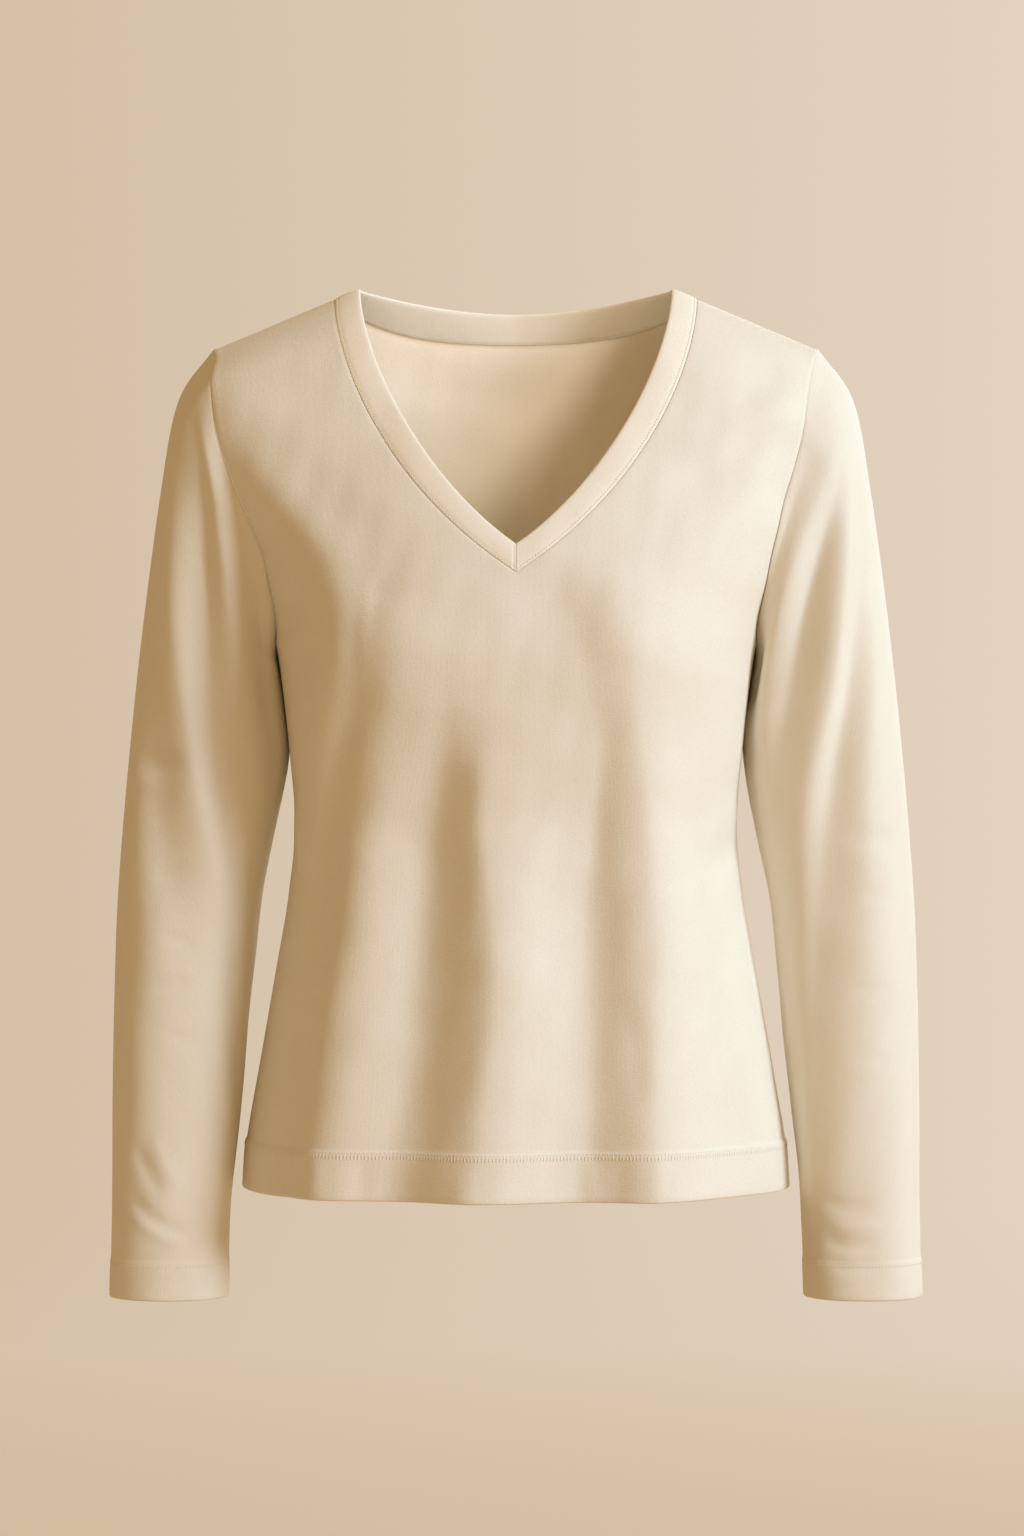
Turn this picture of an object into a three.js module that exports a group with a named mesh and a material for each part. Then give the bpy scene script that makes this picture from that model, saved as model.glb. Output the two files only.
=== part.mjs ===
// A long-sleeved v-neck top in cotton jersey, hollow and open at the neck, hem and cuffs.
// It keeps the shape that it has when worn. Millimetres, +Z up, the front faces -Y.
// The origin is midway between the two high shoulder points, where the wearer's shoulders carry it.
import * as THREE from "three";

// Driving sizes
const CLOTH = 1.5; // wall of a single layer
const HEM_CLOTH = 2.6; // wall where the edge is turned up and sewn
const BAND_CLOTH = 2.6; // wall of the neckband, which is folded double
const SEAM_GAP = 0.3; // between the edges of two pieces that are sewn together
const BENT_SEAM_GAP = 0.42; // the same where the seam bends, at the armholes and the point of the v
const HEM_Z = -574; // lower edge of the body
const HEM_DEPTH = 30; // turned-up hem of the body
const CUFF_DEPTH = 24; // turned-up hem of a sleeve
const UNDERARM_Z = -228; // lowest point of the armhole
const SHOULDER_X = 195; // outer end of the shoulder seam, from the middle
const NECK_POINT_X = 100; // high shoulder point, at height 0
const SHOULDER_SLOPE = 0.42; // fall of the shoulder seam for each mm outwards
const ARCH = 60; // height over which the cloth rounds over the top of the shoulder
const ROUNDNESS = 2.25; // exponent of the body's superellipse sections
const ARMHOLE_DIP = { front: 15.5, back: 14 }; // how far the armhole curves into each panel, in degrees
const BAND_RISE = 0.5; // how far the neckband stands proud of the panels
const CUFF_ROUNDNESS = 2.1;

// The grid of the walls
const NECK_COLUMNS = 9; // of the back, from its middle to the neck end of the shoulder seam
const HALF_COLUMNS = 13; // of each panel, from its middle to the side seam
const BODY_ROWS = 12; // from the hem to the underarm
const ARMHOLE_ROWS = 12; // from the underarm to the shoulder seam
const V_ROWS = 2; // of those, the ones of the front below the point of its neckline
const SLEEVE_RINGS = 18;

// Sections of the body: half its width, and how far it stands forward and back from the side seams
const BODY = [
  { z: -574, half: 174.5, front: 121, back: 112 },
  { z: -546, half: 172.5, front: 119, back: 110 },
  { z: -510, half: 166.5, front: 116, back: 106 },
  { z: -430, half: 152.5, front: 111, back: 95 },
  { z: -390, half: 145.8, front: 109, back: 89 },
  { z: -345, half: 141.6, front: 110, back: 86 },
  { z: -300, half: 144.4, front: 118, back: 92 },
  { z: -240, half: 151.5, front: 124, back: 104 },
  { z: -215, half: 157.5, front: 122.5, back: 109 },
  { z: -187, half: 168, front: 117.5, back: 112.5 },
  { z: -150, half: 181.5, front: 105, back: 114 },
  { z: -100, half: 201, front: 84, back: 106 },
  { z: -60, half: 206, front: 66, back: 88 },
  { z: -25, half: 208, front: 54, back: 68 },
  { z: 10, half: 208, front: 46, back: 62 },
];

// Fullness of the front on each side of the middle
const FULLNESS = { x: 76, z: -236, width: 42, height: 48, depth: 7 };

// Folds that fall to the hem: where each starts and ends across the panel, its width, and how far it stands out
const FRONT_FOLDS = [
  { topX: -104, hemX: -114, topZ: -252, width: 27, depth: 5.5 },
  { topX: -58, hemX: -52, topZ: -262, width: 25, depth: -6 },
  { topX: -22, hemX: -10, topZ: -268, width: 24, depth: 6.5 },
  { topX: 34, hemX: 44, topZ: -272, width: 26, depth: -6 },
  { topX: 84, hemX: 90, topZ: -250, width: 27, depth: 6 },
  { topX: 122, hemX: 138, topZ: -300, width: 22, depth: -3 },
];
const BACK_FOLDS = [
  { topX: -96, hemX: -108, topZ: -330, width: 26, depth: 5 },
  { topX: -48, hemX: -56, topZ: -350, width: 27, depth: -5.5 },
  { topX: -6, hemX: 4, topZ: -345, width: 25, depth: 5 },
  { topX: 44, hemX: 56, topZ: -360, width: 26, depth: -5 },
  { topX: 92, hemX: 104, topZ: -335, width: 26, depth: 5 },
];

// Edges of the neckband, from the high shoulder point to the middle, as the control points of a curve
const NECK_SEAM = {
  front: [{ x: 116, z: -6.72 }, { x: 111, z: -74 }, { x: 64, z: -146 }, { x: 0, z: -187 }],
  back: [{ x: 116, z: -6.72 }, { x: 88, z: -24 }, { x: 50, z: -28.5 }, { x: 0, z: -28.5 }],
};
const NECK_EDGE = {
  front: [{ x: 99.8, z: 0 }, { x: 95, z: -60 }, { x: 50, z: -134 }, { x: 0, z: -169 }],
  back: [{ x: 99.8, z: 0 }, { x: 85, z: 0 }, { x: 45, z: -9 }, { x: 0, z: -9 }],
};

// Rings of the wearer's left sleeve, from the armhole to the cuff: its outer and inner lines as seen from the
// front, the middle's place from front to back, and how far it stands forward and back from there
const SLEEVE = [
  { outerX: 195, outerZ: -39.9, innerX: 153.3, innerZ: -228, middle: 0, front: 46, back: 50 },
  { outerX: 216.5, outerZ: -72, innerX: 152.6, innerZ: -243, middle: 0, front: 49, back: 52 },
  { outerX: 227.5, outerZ: -130, innerX: 149.8, innerZ: -260, middle: 1, front: 51, back: 52 },
  { outerX: 239, outerZ: -215, innerX: 146.6, innerZ: -288, middle: 2, front: 50, back: 50 },
  { outerX: 248, outerZ: -300, innerX: 149.5, innerZ: -322, middle: 1, front: 48, back: 48 },
  { outerX: 254.5, outerZ: -385, innerX: 161.5, innerZ: -385, middle: -3, front: 46, back: 45 },
  { outerX: 256.4, outerZ: -450, innerX: 168.5, innerZ: -450, middle: -9, front: 43, back: 42 },
  { outerX: 256.8, outerZ: -520, innerX: 174.6, innerZ: -520, middle: -17, front: 38, back: 38 },
  { outerX: 256.4, outerZ: -586, innerX: 181, innerZ: -586, middle: -25, front: 33, back: 33 },
  { outerX: 256.9, outerZ: -641, innerX: 182.4, innerZ: -641, middle: -32, front: 29, back: 29 },
];

// Slanting folds of the sleeves: the turn round the sleeve, from the outer line towards the front, and the share
// of its length, where each starts and ends
const SLEEVE_FOLDS = {
  left: [
    { fromTurn: 35, toTurn: 150, from: 0.14, to: 0.56, width: 26, depth: 4 },
    { fromTurn: 62, toTurn: 158, from: 0.2, to: 0.48, width: 20, depth: -4 },
    { fromTurn: 215, toTurn: 300, from: 0.3, to: 0.62, width: 26, depth: -3.5 },
  ],
  right: [
    { fromTurn: 30, toTurn: 140, from: 0.16, to: 0.6, width: 24, depth: 4 },
    { fromTurn: 58, toTurn: 150, from: 0.2, to: 0.5, width: 20, depth: -4 },
    { fromTurn: 210, toTurn: 292, from: 0.34, to: 0.66, width: 26, depth: -3.5 },
  ],
};

const RIGHT_ANGLE = Math.PI / 2;

const mix = (a, b, share) => a + (b - a) * share;
const clamp01 = (value) => Math.min(1, Math.max(0, value));
const ease = (value) => clamp01(value) ** 2 * (3 - 2 * clamp01(value));

// A smooth curve through a table's column. The rows stand at rising places, and it is read at any place between.
function alongRows(rows, column, places, place) {
  const last = rows.length - 1;
  const i = Math.min(last - 1, Math.max(0, places.findLastIndex((start) => place >= start)));
  const step = places[i + 1] - places[i];
  const slope = (k) => {
    const [before, after] = [Math.max(0, k - 1), Math.min(last, k + 1)];
    return (rows[after][column] - rows[before][column]) / (places[after] - places[before]);
  };
  const t = clamp01((place - places[i]) / step);
  const eased = ease(t);
  const bulge = t * (1 - t) ** 2 * slope(i) - t ** 2 * (1 - t) * slope(i + 1);
  return mix(rows[i][column], rows[i + 1][column], eased) + step * bulge;
}

const BODY_PLACES = BODY.map((row) => row.z);
const SLEEVE_PLACES = SLEEVE.map((_, i) => i / (SLEEVE.length - 1));
const bodySize = (column, z) => alongRows(BODY, column, BODY_PLACES, z);
const halfWidth = (z) => bodySize("half", z);
const ridgeZ = (x) => -(Math.abs(x) - NECK_POINT_X) * SHOULDER_SLOPE;

// A point of the body's form, from its turn round the body (0 in the middle of the panel, a right angle at the
// side seam) and its height.
function bodyPoint(side, turn, z) {
  const half = halfWidth(z);
  const depth = bodySize(side, z);
  const x = Math.sign(turn) * half * Math.sin(Math.abs(turn)) ** (2 / ROUNDNESS);
  const out = depth * Math.max(0, Math.cos(turn)) ** (2 / ROUNDNESS);
  const under = clamp01((ridgeZ(x) - z) / ARCH);
  const arch = Math.sqrt(1 - (1 - under) ** 2);
  const forward = side === "front" ? -1 : 1;
  const point = new THREE.Vector3(x, forward * out * arch, z);
  const away = new THREE.Vector3(point.x / half ** 2, point.y / depth ** 2, 0).normalize();
  return point.addScaledVector(away, relief(side, x, z, Math.cos(turn)));
}

// How far the fullness and the folds move the cloth out from the plain form.
function relief(side, x, z, facing) {
  const full = FULLNESS;
  const swell = Math.exp(-(((Math.abs(x) - full.x) / full.width) ** 2) - ((z - full.z) / full.height) ** 2);
  let out = side === "front" ? full.depth * swell : 0;
  for (const fold of side === "front" ? FRONT_FOLDS : BACK_FOLDS) {
    const down = clamp01((fold.topZ - z) / (fold.topZ - HEM_Z));
    const grown = ease((fold.topZ - z) / 110) * mix(0.65, 1, down);
    const across = (x - mix(fold.topX, fold.hemX, down)) / (fold.width * mix(0.75, 1, down));
    out += fold.depth * grown * Math.exp(-(across ** 2));
  }
  return out * clamp01(facing * 3);
}

const turnAt = (x, z) => Math.asin(clamp01(x / halfWidth(z)) ** (ROUNDNESS / 2));

function curveAt(points, share) {
  const rest = 1 - share;
  const weights = [rest ** 3, 3 * rest ** 2 * share, 3 * rest * share ** 2, share ** 3];
  const sum = (axis) => points.reduce((total, p, i) => total + p[axis] * weights[i], 0);
  return { x: sum("x"), z: sum("z") };
}

// The share of the way from the high shoulder point to the middle of the neckline, in steps that start close.
const neckShare = (step) => mix(step, step ** 2, 0.75);

// The armhole edge of a panel, from the underarm (0) to the end of the shoulder seam (1).
function armhole(side, share) {
  const tipZ = ridgeZ(SHOULDER_X);
  const z = mix(UNDERARM_Z, tipZ, (1 - Math.cos(Math.PI * share)) / 2);
  const dip = THREE.MathUtils.degToRad(ARMHOLE_DIP[side]) * Math.sin(Math.PI * share);
  const turn = mix(RIGHT_ANGLE, turnAt(SHOULDER_X, tipZ), share) - dip;
  return { x: halfWidth(z) * Math.sin(turn) ** (2 / ROUNDNESS), z };
}

// Heights of the body's rows: the hem takes the first one, and the step in the wall just above it the second.
function bodyRowZ(row) {
  if (row <= 1) return HEM_Z + row * HEM_DEPTH;
  if (row <= 2) return HEM_Z + HEM_DEPTH + (row - 1) * 1.5;
  return mix(HEM_Z + HEM_DEPTH + 1.5, UNDERARM_Z, (row - 2) / (BODY_ROWS - 2));
}

const between = (a, b, share) => ({ x: mix(a.x, b.x, share), z: mix(a.z, b.z, share) });
const sideways = (across) => Math.sin(across * RIGHT_ANGLE) ** (2 / ROUNDNESS);

// Where a column of the front stands above the underarm: its rows run from the neckline out to the armhole.
function frontPlace(step, across) {
  const tip = NECK_SEAM.front[3];
  const vStep = V_ROWS / ARMHOLE_ROWS;
  const start = step <= vStep
    ? between({ x: 0, z: UNDERARM_Z }, tip, step / vStep)
    : curveAt(NECK_SEAM.front, neckShare((1 - step) / (1 - vStep)));
  return between(start, armhole("front", step), mix(sideways(across), across, step));
}

// The same for the back: its columns run up to the neckline and to the shoulder seam.
function backPlace(step, across) {
  const rise = 1 - (1 - step) ** 2;
  const neckEnd = NECK_COLUMNS / HALF_COLUMNS;
  const foot = (a) => ({ x: halfWidth(UNDERARM_Z) * sideways(a), z: UNDERARM_Z });
  const head = (a) => a < neckEnd
    ? curveAt(NECK_SEAM.back, neckShare(1 - a / neckEnd))
    : between(NECK_SEAM.back[0], armhole("back", 1), (a - neckEnd) / (1 - neckEnd));
  const plain = between(foot(across), head(across), rise);
  const edge = between(foot(1), head(1), rise);
  const pull = armhole("back", step);
  return { x: plain.x + across ** 2 * (pull.x - edge.x), z: plain.z + across ** 2 * (pull.z - edge.z) };
}

// A point of a panel by its half (+1 on the left), its row up from the hem and its column from the middle.
function panelPoint(side, half, row, column) {
  const across = column / HALF_COLUMNS;
  if (row <= BODY_ROWS) return bodyPoint(side, half * across * RIGHT_ANGLE, bodyRowZ(row));
  const step = (row - BODY_ROWS) / ARMHOLE_ROWS;
  const place = side === "front" ? frontPlace(step, across) : backPlace(step, across);
  return bodyPoint(side, half * turnAt(place.x, place.z), place.z);
}

// A sheet is one face of a piece: points, four-sided faces turned outwards, and a unit vector out from each point.
function finishSheet(points, faces) {
  const normals = points.map(() => new THREE.Vector3());
  for (const [a, b, c, d] of faces) {
    const out = points[c].clone().sub(points[a]).cross(points[d].clone().sub(points[b]));
    [a, b, c, d].forEach((i) => normals[i].add(out));
  }
  normals.forEach((normal) => normal.normalize());
  return { points, faces, normals };
}

// The closed wall behind a sheet, as thick at each point as the function says.
function wall({ points, faces, normals }, thickness) {
  const count = points.length;
  const inner = points.map((point, i) => point.clone().addScaledVector(normals[i], -thickness(i)));
  const index = [];
  const face = (a, b, c, d) => index.push(a, b, c, a, c, d);
  const edges = new Map();
  for (const [a, b, c, d] of faces) {
    face(a, b, c, d);
    face(count + a, count + d, count + c, count + b);
    [[a, b], [b, c], [c, d], [d, a]].forEach(([from, to]) => edges.set(`${from} ${to}`, [from, to]));
  }
  for (const [from, to] of edges.values()) {
    if (!edges.has(`${to} ${from}`)) face(to, from, count + from, count + to);
  }
  return solid([...points, ...inner], index);
}

function solid(points, index) {
  const geometry = new THREE.BufferGeometry();
  geometry.setAttribute("position", new THREE.Float32BufferAttribute(points.flatMap((p) => [p.x, p.y, p.z]), 3));
  geometry.setIndex(index);
  geometry.computeVertexNormals();
  return geometry;
}

// The front or the back. Its halves meet in the middle, the front's only up to the point of the v.
function panelSheet(side) {
  const front = side === "front";
  const top = BODY_ROWS + ARMHOLE_ROWS;
  const joined = front ? BODY_ROWS + V_ROWS : top;
  const points = [];
  const places = new Map();
  const at = (half, row, column) => {
    const key = `${column === 0 && row <= joined ? 1 : half} ${row} ${column}`;
    if (!places.has(key)) {
      places.set(key, points.length);
      const point = panelPoint(side, half, row, column);
      point.y += (front ? -1 : 1) * (SEAM_GAP / 2);
      points.push(point);
    }
    return places.get(key);
  };
  const faces = [];
  for (const half of [1, -1]) {
    for (let row = 0; row < top; row++) {
      for (let column = 0; column < HALF_COLUMNS; column++) {
        const around = [at(half, row, column), at(half, row, column + 1), at(half, row + 1, column + 1), at(half, row + 1, column)];
        faces.push((half > 0) === front ? around : around.reverse());
      }
    }
  }
  const sheet = finishSheet(points, faces);
  const seamStart = front ? 0 : NECK_COLUMNS;
  for (const half of [1, -1]) {
    const seam = [];
    for (let row = 0; row <= BODY_ROWS; row++) seam.push(at(half, row, HALF_COLUMNS));
    for (let column = seamStart; column <= HALF_COLUMNS; column++) seam.push(at(half, top, column));
    seam.forEach((i) => sheet.normals[i].setY(0).normalize());
  }
  const pick = (i) => ({ point: points[i], normal: sheet.normals[i] });
  const rows = (first) => Array.from({ length: top - first + 1 }, (_, i) => first + i);
  const neck = (half) => (front
    ? rows(joined).map((row) => pick(at(half, row, 0)))
    : Array.from({ length: NECK_COLUMNS + 1 }, (_, column) => pick(at(half, top, column))));
  const hole = rows(BODY_ROWS).map((row) => pick(at(1, row, HALF_COLUMNS)));
  const thin = (i) => points[i].z > bodyRowZ(1) + 0.5;
  return { sheet, neck, hole, thickness: (i) => (thin(i) ? CLOTH : HEM_CLOTH) };
}

// A seam point that both panels share, midway between their own.
const shared = (a, b) => ({
  point: a.point.clone().add(b.point).multiplyScalar(0.5),
  normal: a.normal.clone().add(b.normal).normalize(),
});

// Away from a panel along its own face, square to the loop of its seam.
function beyond(loop, i) {
  const next = loop[(i + 1) % loop.length].point;
  const last = loop.at(i - 1).point;
  return loop[i].normal.clone().cross(next.clone().sub(last)).normalize();
}

// The armhole on the left as a loop, from the end of the shoulder seam down the front and up the back.
function armholeLoop(front, back) {
  const underarm = shared(front.hole[0], back.hole[0]);
  const tip = shared(front.hole.at(-1), back.hole.at(-1));
  return [tip, ...front.hole.slice(1, -1).reverse(), underarm, ...back.hole.slice(1, -1)];
}

function sleeveRelief(folds, turn, share) {
  return folds.reduce((total, fold) => {
    const along = (share - fold.from) / (fold.to - fold.from);
    const middle = mix(fold.fromTurn, fold.toTurn, clamp01(along));
    const away = (turn - middle) / fold.width;
    return total + fold.depth * ease(along * 3) * ease((1 - along) * 3) * Math.exp(-(away ** 2));
  }, 0);
}

// One ring of a sleeve on the left, with no regard to the armhole: a point for each one of the armhole's loop.
function sleeveRing(share, count, folds) {
  const read = (column) => alongRows(SLEEVE, column, SLEEVE_PLACES, share);
  const outer = new THREE.Vector3(read("outerX"), 0, read("outerZ"));
  const inner = new THREE.Vector3(read("innerX"), 0, read("innerZ"));
  const middle = outer.clone().add(inner).multiplyScalar(0.5).setY(read("middle"));
  const reach = outer.clone().sub(inner).multiplyScalar(0.5);
  const rounded = (value) => Math.sign(value) * Math.abs(value) ** (2 / CUFF_ROUNDNESS);
  return Array.from({ length: count }, (_, j) => {
    const turn = (2 * Math.PI * j) / count;
    const sin = rounded(Math.sin(turn));
    const point = middle.clone().addScaledVector(reach, rounded(Math.cos(turn)));
    point.y -= (sin > 0 ? read("front") : read("back")) * sin;
    const away = reach.clone().normalize().multiplyScalar(Math.cos(turn));
    away.y -= Math.sin(turn);
    return point.addScaledVector(away.normalize(), sleeveRelief(folds, THREE.MathUtils.radToDeg(turn), share));
  });
}

// A sleeve on the left: it starts from the armhole and becomes round within the first part of its length.
function sleeveGeometry(loop, folds) {
  const count = loop.length;
  const cuffShare = CUFF_DEPTH / 495; // of the table's length
  const shares = Array.from({ length: SLEEVE_RINGS - 1 }, (_, i) => (i / (SLEEVE_RINGS - 2)) ** 1.4 * (1 - cuffShare - 0.004));
  shares.push(1 - cuffShare, 1);
  const first = sleeveRing(0, count, folds);
  const seat = loop.map(({ point, normal }, j) =>
    point.clone().addScaledVector(beyond(loop, j), BENT_SEAM_GAP).addScaledVector(normal, SEAM_GAP).sub(first[j]));
  const points = shares.flatMap((share) => {
    const seated = share === 0 ? 1 : ease(1 - share / 0.32) ** 2;
    return sleeveRing(share, count, folds).map((point, j) => point.addScaledVector(seat[j], seated));
  });
  const faces = [];
  for (let i = 0; i < shares.length - 1; i++) {
    for (let j = 0; j < count; j++) {
      const next = (j + 1) % count;
      faces.push([i * count + j, i * count + next, (i + 1) * count + next, (i + 1) * count + j]);
    }
  }
  const sheet = finishSheet(points, faces);
  for (let j = 0; j < count; j++) {
    const away = beyond(loop, j);
    const lean = sheet.normals[j].dot(away);
    if (lean > 0) sheet.normals[j].addScaledVector(away, -lean).normalize();
  }
  const cuff = (shares.length - 2) * count;
  return wall(sheet, (i) => (i >= cuff ? HEM_CLOTH : CLOTH));
}

// The neckband: a folded strip from the point of the v up one side, round the back and down the other side.
function neckbandGeometry(front, back) {
  const side = (name, half, list, from, to) => list.slice(from, to).map((seam, k) => {
    const share = name === "front" ? neckShare(1 - (from + k) / (list.length - 1)) : neckShare(1 - (from + k) / NECK_COLUMNS);
    const edge = curveAt(NECK_EDGE[name], share);
    return { ...seam, free: bodyPoint(name, half * turnAt(edge.x, edge.z), edge.z) };
  });
  const shoulder = (half) => {
    const seam = shared(front.neck(half).at(-1), back.neck(half).at(-1));
    return { ...seam, free: new THREE.Vector3(half * NECK_EDGE.front[0].x, 0, NECK_EDGE.front[0].z) };
  };
  const seam = [
    ...side("front", 1, front.neck(1), 0, -1), shoulder(1),
    ...side("back", 1, back.neck(1), 0, -1).reverse(),
    ...side("back", -1, back.neck(-1), 1, -1),
    shoulder(-1), ...side("front", -1, front.neck(-1), 0, -1).reverse(),
  ];
  const last = seam.length - 1;
  const outlines = seam.map(({ point, normal, free }, i) => {
    const tip = i === 0 || i === last;
    const along = seam[Math.min(last, i + 1)].point.clone().sub(seam[Math.max(0, i - 1)].point);
    if (tip) along.set(1, 0, 0);
    const start = point.clone().addScaledVector(normal.clone().cross(along).normalize(), tip ? BENT_SEAM_GAP : SEAM_GAP);
    const across = free.clone().sub(start);
    const up = along.clone().cross(across).normalize();
    const place = (share, height) => start.clone().addScaledVector(across, share).addScaledVector(up, height);
    const under = BAND_RISE - BAND_CLOTH;
    const outline = [
      start, place(0.1, BAND_RISE), place(0.5, BAND_RISE + 0.2), place(0.93, BAND_RISE), place(1, BAND_RISE - BAND_CLOTH / 2),
      place(0.93, under), place(0.5, under), place(0.1, under), start.clone().addScaledVector(normal, -CLOTH),
    ];
    if (tip) outline.forEach((p) => { p.x = (i === 0 ? 1 : -1) * (SEAM_GAP / 2); });
    return outline.reverse();
  });
  return tube(outlines);
}

// A closed solid through a row of outlines with the same number of points.
function tube(outlines) {
  const count = outlines[0].length;
  const end = (outlines.length - 1) * count;
  const index = [];
  for (let a = 0; a < end; a++) {
    const b = a % count === count - 1 ? a + 1 - count : a + 1;
    index.push(a, b, b + count, a, b + count, a + count);
  }
  for (let j = 1; j < count - 1; j++) index.push(0, j + 1, j, end, end + j, end + j + 1);
  return solid(outlines.flat(), index);
}

const mirror = (geometry) => {
  const copy = geometry.clone().applyMatrix4(new THREE.Matrix4().makeScale(-1, 1, 1));
  const index = copy.getIndex().array;
  for (let i = 0; i < index.length; i += 3) [index[i + 1], index[i + 2]] = [index[i + 2], index[i + 1]];
  return copy;
};

function mesh(name, geometry) {
  const jersey = new THREE.MeshStandardMaterial({ name: "jersey", color: 0xf3e6cd, roughness: 0.85, metalness: 0 });
  const made = new THREE.Mesh(geometry, jersey);
  made.name = name;
  return made;
}

const front = panelSheet("front");
const back = panelSheet("back");
const loop = armholeLoop(front, back);
const top = new THREE.Group();
top.add(mesh("front", wall(front.sheet, front.thickness)));
top.add(mesh("back", wall(back.sheet, back.thickness)));
top.add(mesh("sleeve_left", sleeveGeometry(loop, SLEEVE_FOLDS.left)));
top.add(mesh("sleeve_right", mirror(sleeveGeometry(loop, SLEEVE_FOLDS.right))));
top.add(mesh("neckband", neckbandGeometry(front, back)));

export default top;
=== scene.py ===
import math

import bpy
import numpy as np
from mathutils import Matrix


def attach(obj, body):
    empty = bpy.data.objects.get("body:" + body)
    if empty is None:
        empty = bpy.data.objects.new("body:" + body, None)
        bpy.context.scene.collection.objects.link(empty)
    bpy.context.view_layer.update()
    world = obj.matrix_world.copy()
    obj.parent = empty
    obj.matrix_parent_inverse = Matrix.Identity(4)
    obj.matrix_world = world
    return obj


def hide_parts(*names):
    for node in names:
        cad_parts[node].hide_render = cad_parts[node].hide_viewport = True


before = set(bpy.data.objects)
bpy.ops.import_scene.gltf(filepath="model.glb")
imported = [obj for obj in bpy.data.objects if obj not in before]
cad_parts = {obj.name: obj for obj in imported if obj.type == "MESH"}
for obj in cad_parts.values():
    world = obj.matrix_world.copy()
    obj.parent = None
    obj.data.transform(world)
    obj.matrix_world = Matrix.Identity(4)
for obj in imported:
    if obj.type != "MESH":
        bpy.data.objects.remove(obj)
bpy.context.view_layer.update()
bpy.ops.object.select_all(action="DESELECT")


# ---------------------------------------------------------------- the front
# The front is one piece of cream cotton jersey, cut with a deep v and shaped by its side seams. It hangs in
# soft folds, its lower edge is turned up 30 mm to the inside and sewn, and its other edges roll into their
# seams. All sizes are in mm until they become a mesh, and +x is the wearer's left.

JERSEY_THICK = 1.0
HEM_Z = -574
HEM_DEPTH = 30
FOLD = 1.3  # radius of the fold at the edge of a hem
HEM_ROWS = np.array([0, 3.4, 6.8, 10.2, 13.6, 17, 20.2, 23, 25.2, 27, HEM_DEPTH - FOLD])
UNDERARM_Z = -228
SHOULDER_X = 195
NECK_POINT_X = 100
SHOULDER_SLOPE = 0.42
ARCH = 60  # how far below the shoulder the panel has reached its full depth
ROUNDNESS = 2.25  # 2 would make the body's section an ellipse, and more makes it squarer
ARMHOLE_DIP = {"front": 15.5, "back": 14}  # how far the armhole is cut in at its middle, in degrees round
CLOSE = np.array([0.5, 1.0, 1.7, 2.8])  # how far the first points in from a seam lie from it
FAR = 1e3  # stands for the distance of a point that is nowhere near the edge in question

# Sections of the body: height, half its width, and how far it stands forward and back from the side seams
BODY = np.array([
    (-574, 174.5, 121, 112), (-546, 172.5, 119, 110), (-510, 166.5, 116, 106), (-430, 152.5, 111, 95),
    (-390, 145.8, 109, 89), (-345, 141.6, 110, 86), (-300, 144.4, 118, 92), (-240, 151.5, 124, 104),
    (-215, 157.5, 122.5, 109), (-187, 168, 117.5, 112.5), (-150, 181.5, 105, 114), (-100, 201, 84, 106),
    (-60, 206, 66, 88), (-25, 208, 54, 68), (10, 208, 46, 62),
], float)
NECK_SEAM = {
    "front": [(116, -6.72), (111, -74), (64, -146), (0, -187)],
    "back": [(116, -6.72), (88, -24), (50, -28.5), (0, -28.5)],
}
# Fullness of the front on each side of the middle: x, z, width, height, and how far it stands out
FULLNESS = (76, -236, 42, 48, 7)
# The chest before the wearer's right armhole, full there and hollow beside the neck: the same values
CHEST = [(-206, -76, 56, 60, 14), (-66, -84, 44, 50, -3)]

# The folds that hang to the hem. Each line runs down along one ridge or trough: the heights it is given at,
# its x there, how far it stands out there, and for a few how sharp its edge is.
FRONT_LINES = [
    ((-186, -240, -300, -400, -574), (-158, -150, -144, -150, -172), (0,) * 5),
    ((-186, -212, -241, -263, -287, -308, -327, -350, -390, -440, -574),
     (-108, -106, -105, -110, -114, -116, -117, -120, -124, -130, -148),
     (0, 3.4, 8.4, 11.2, 12, 11.6, 10.6, 9, 6, 4, 3)),
    ((-186, -241, -267, -294, -318, -344, -361, -400, -440, -574),
     (-92, -91, -92, -100, -106, -112, -115, -119, -125, -143),
     (0, 4.6, 6.2, 6.6, 6.2, 5.2, 4.4, 3.6, 3, 2.4)),
    ((-200, -250, -300, -345, -395, -436, -480, -520, -574),
     (-82, -84, -90, -95, -100, -106, -113, -118, -124), (0, 5, 8.4, 9.6, 9.8, 9.4, 8.6, 8, 7.6)),
    ((-272, -292, -315, -355, -410, -463, -517, -574), (-40, -43, -46, -52, -55, -60, -66, -75),
     (0, -1.6, -4.0, -6.8, -8.2, -8.4, -8.4, -8.4)),
    ((-262, -292, -326, -352, -387, -421, -449, -490, -574), (-16, -19, -20, -19, -15, -12, -12, -16, -24),
     (0, 1.6, 4.0, 5.8, 7.2, 7.8, 8, 8.2, 8.4)),
    ((-176, -210, -250, -300, -341, -384, -422, -463, -503, -574), (22, 28, 42, 50, 48, 45, 44, 44, 44, 42),
     (0, -3.8, -3.0, -4.2, -6.8, -8.6, -9.2, -9.4, -9.2, -9)),
    ((-176, -210, -250, -300, -341, -384, -422, -463, -503, -574), (62, 66, 72, 78, 81, 84, 85, 85, 85, 86),
     (0, 1.6, 1.6, 4.4, 7.4, 9.2, 9.6, 9.4, 9.2, 9)),
    ((-250, -330, -400, -574), (122, 124, 128, 145), (0, -1.5, -3, -3.4)),
    ((-250, -574), (151, 170), (0, 0)),
]
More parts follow.
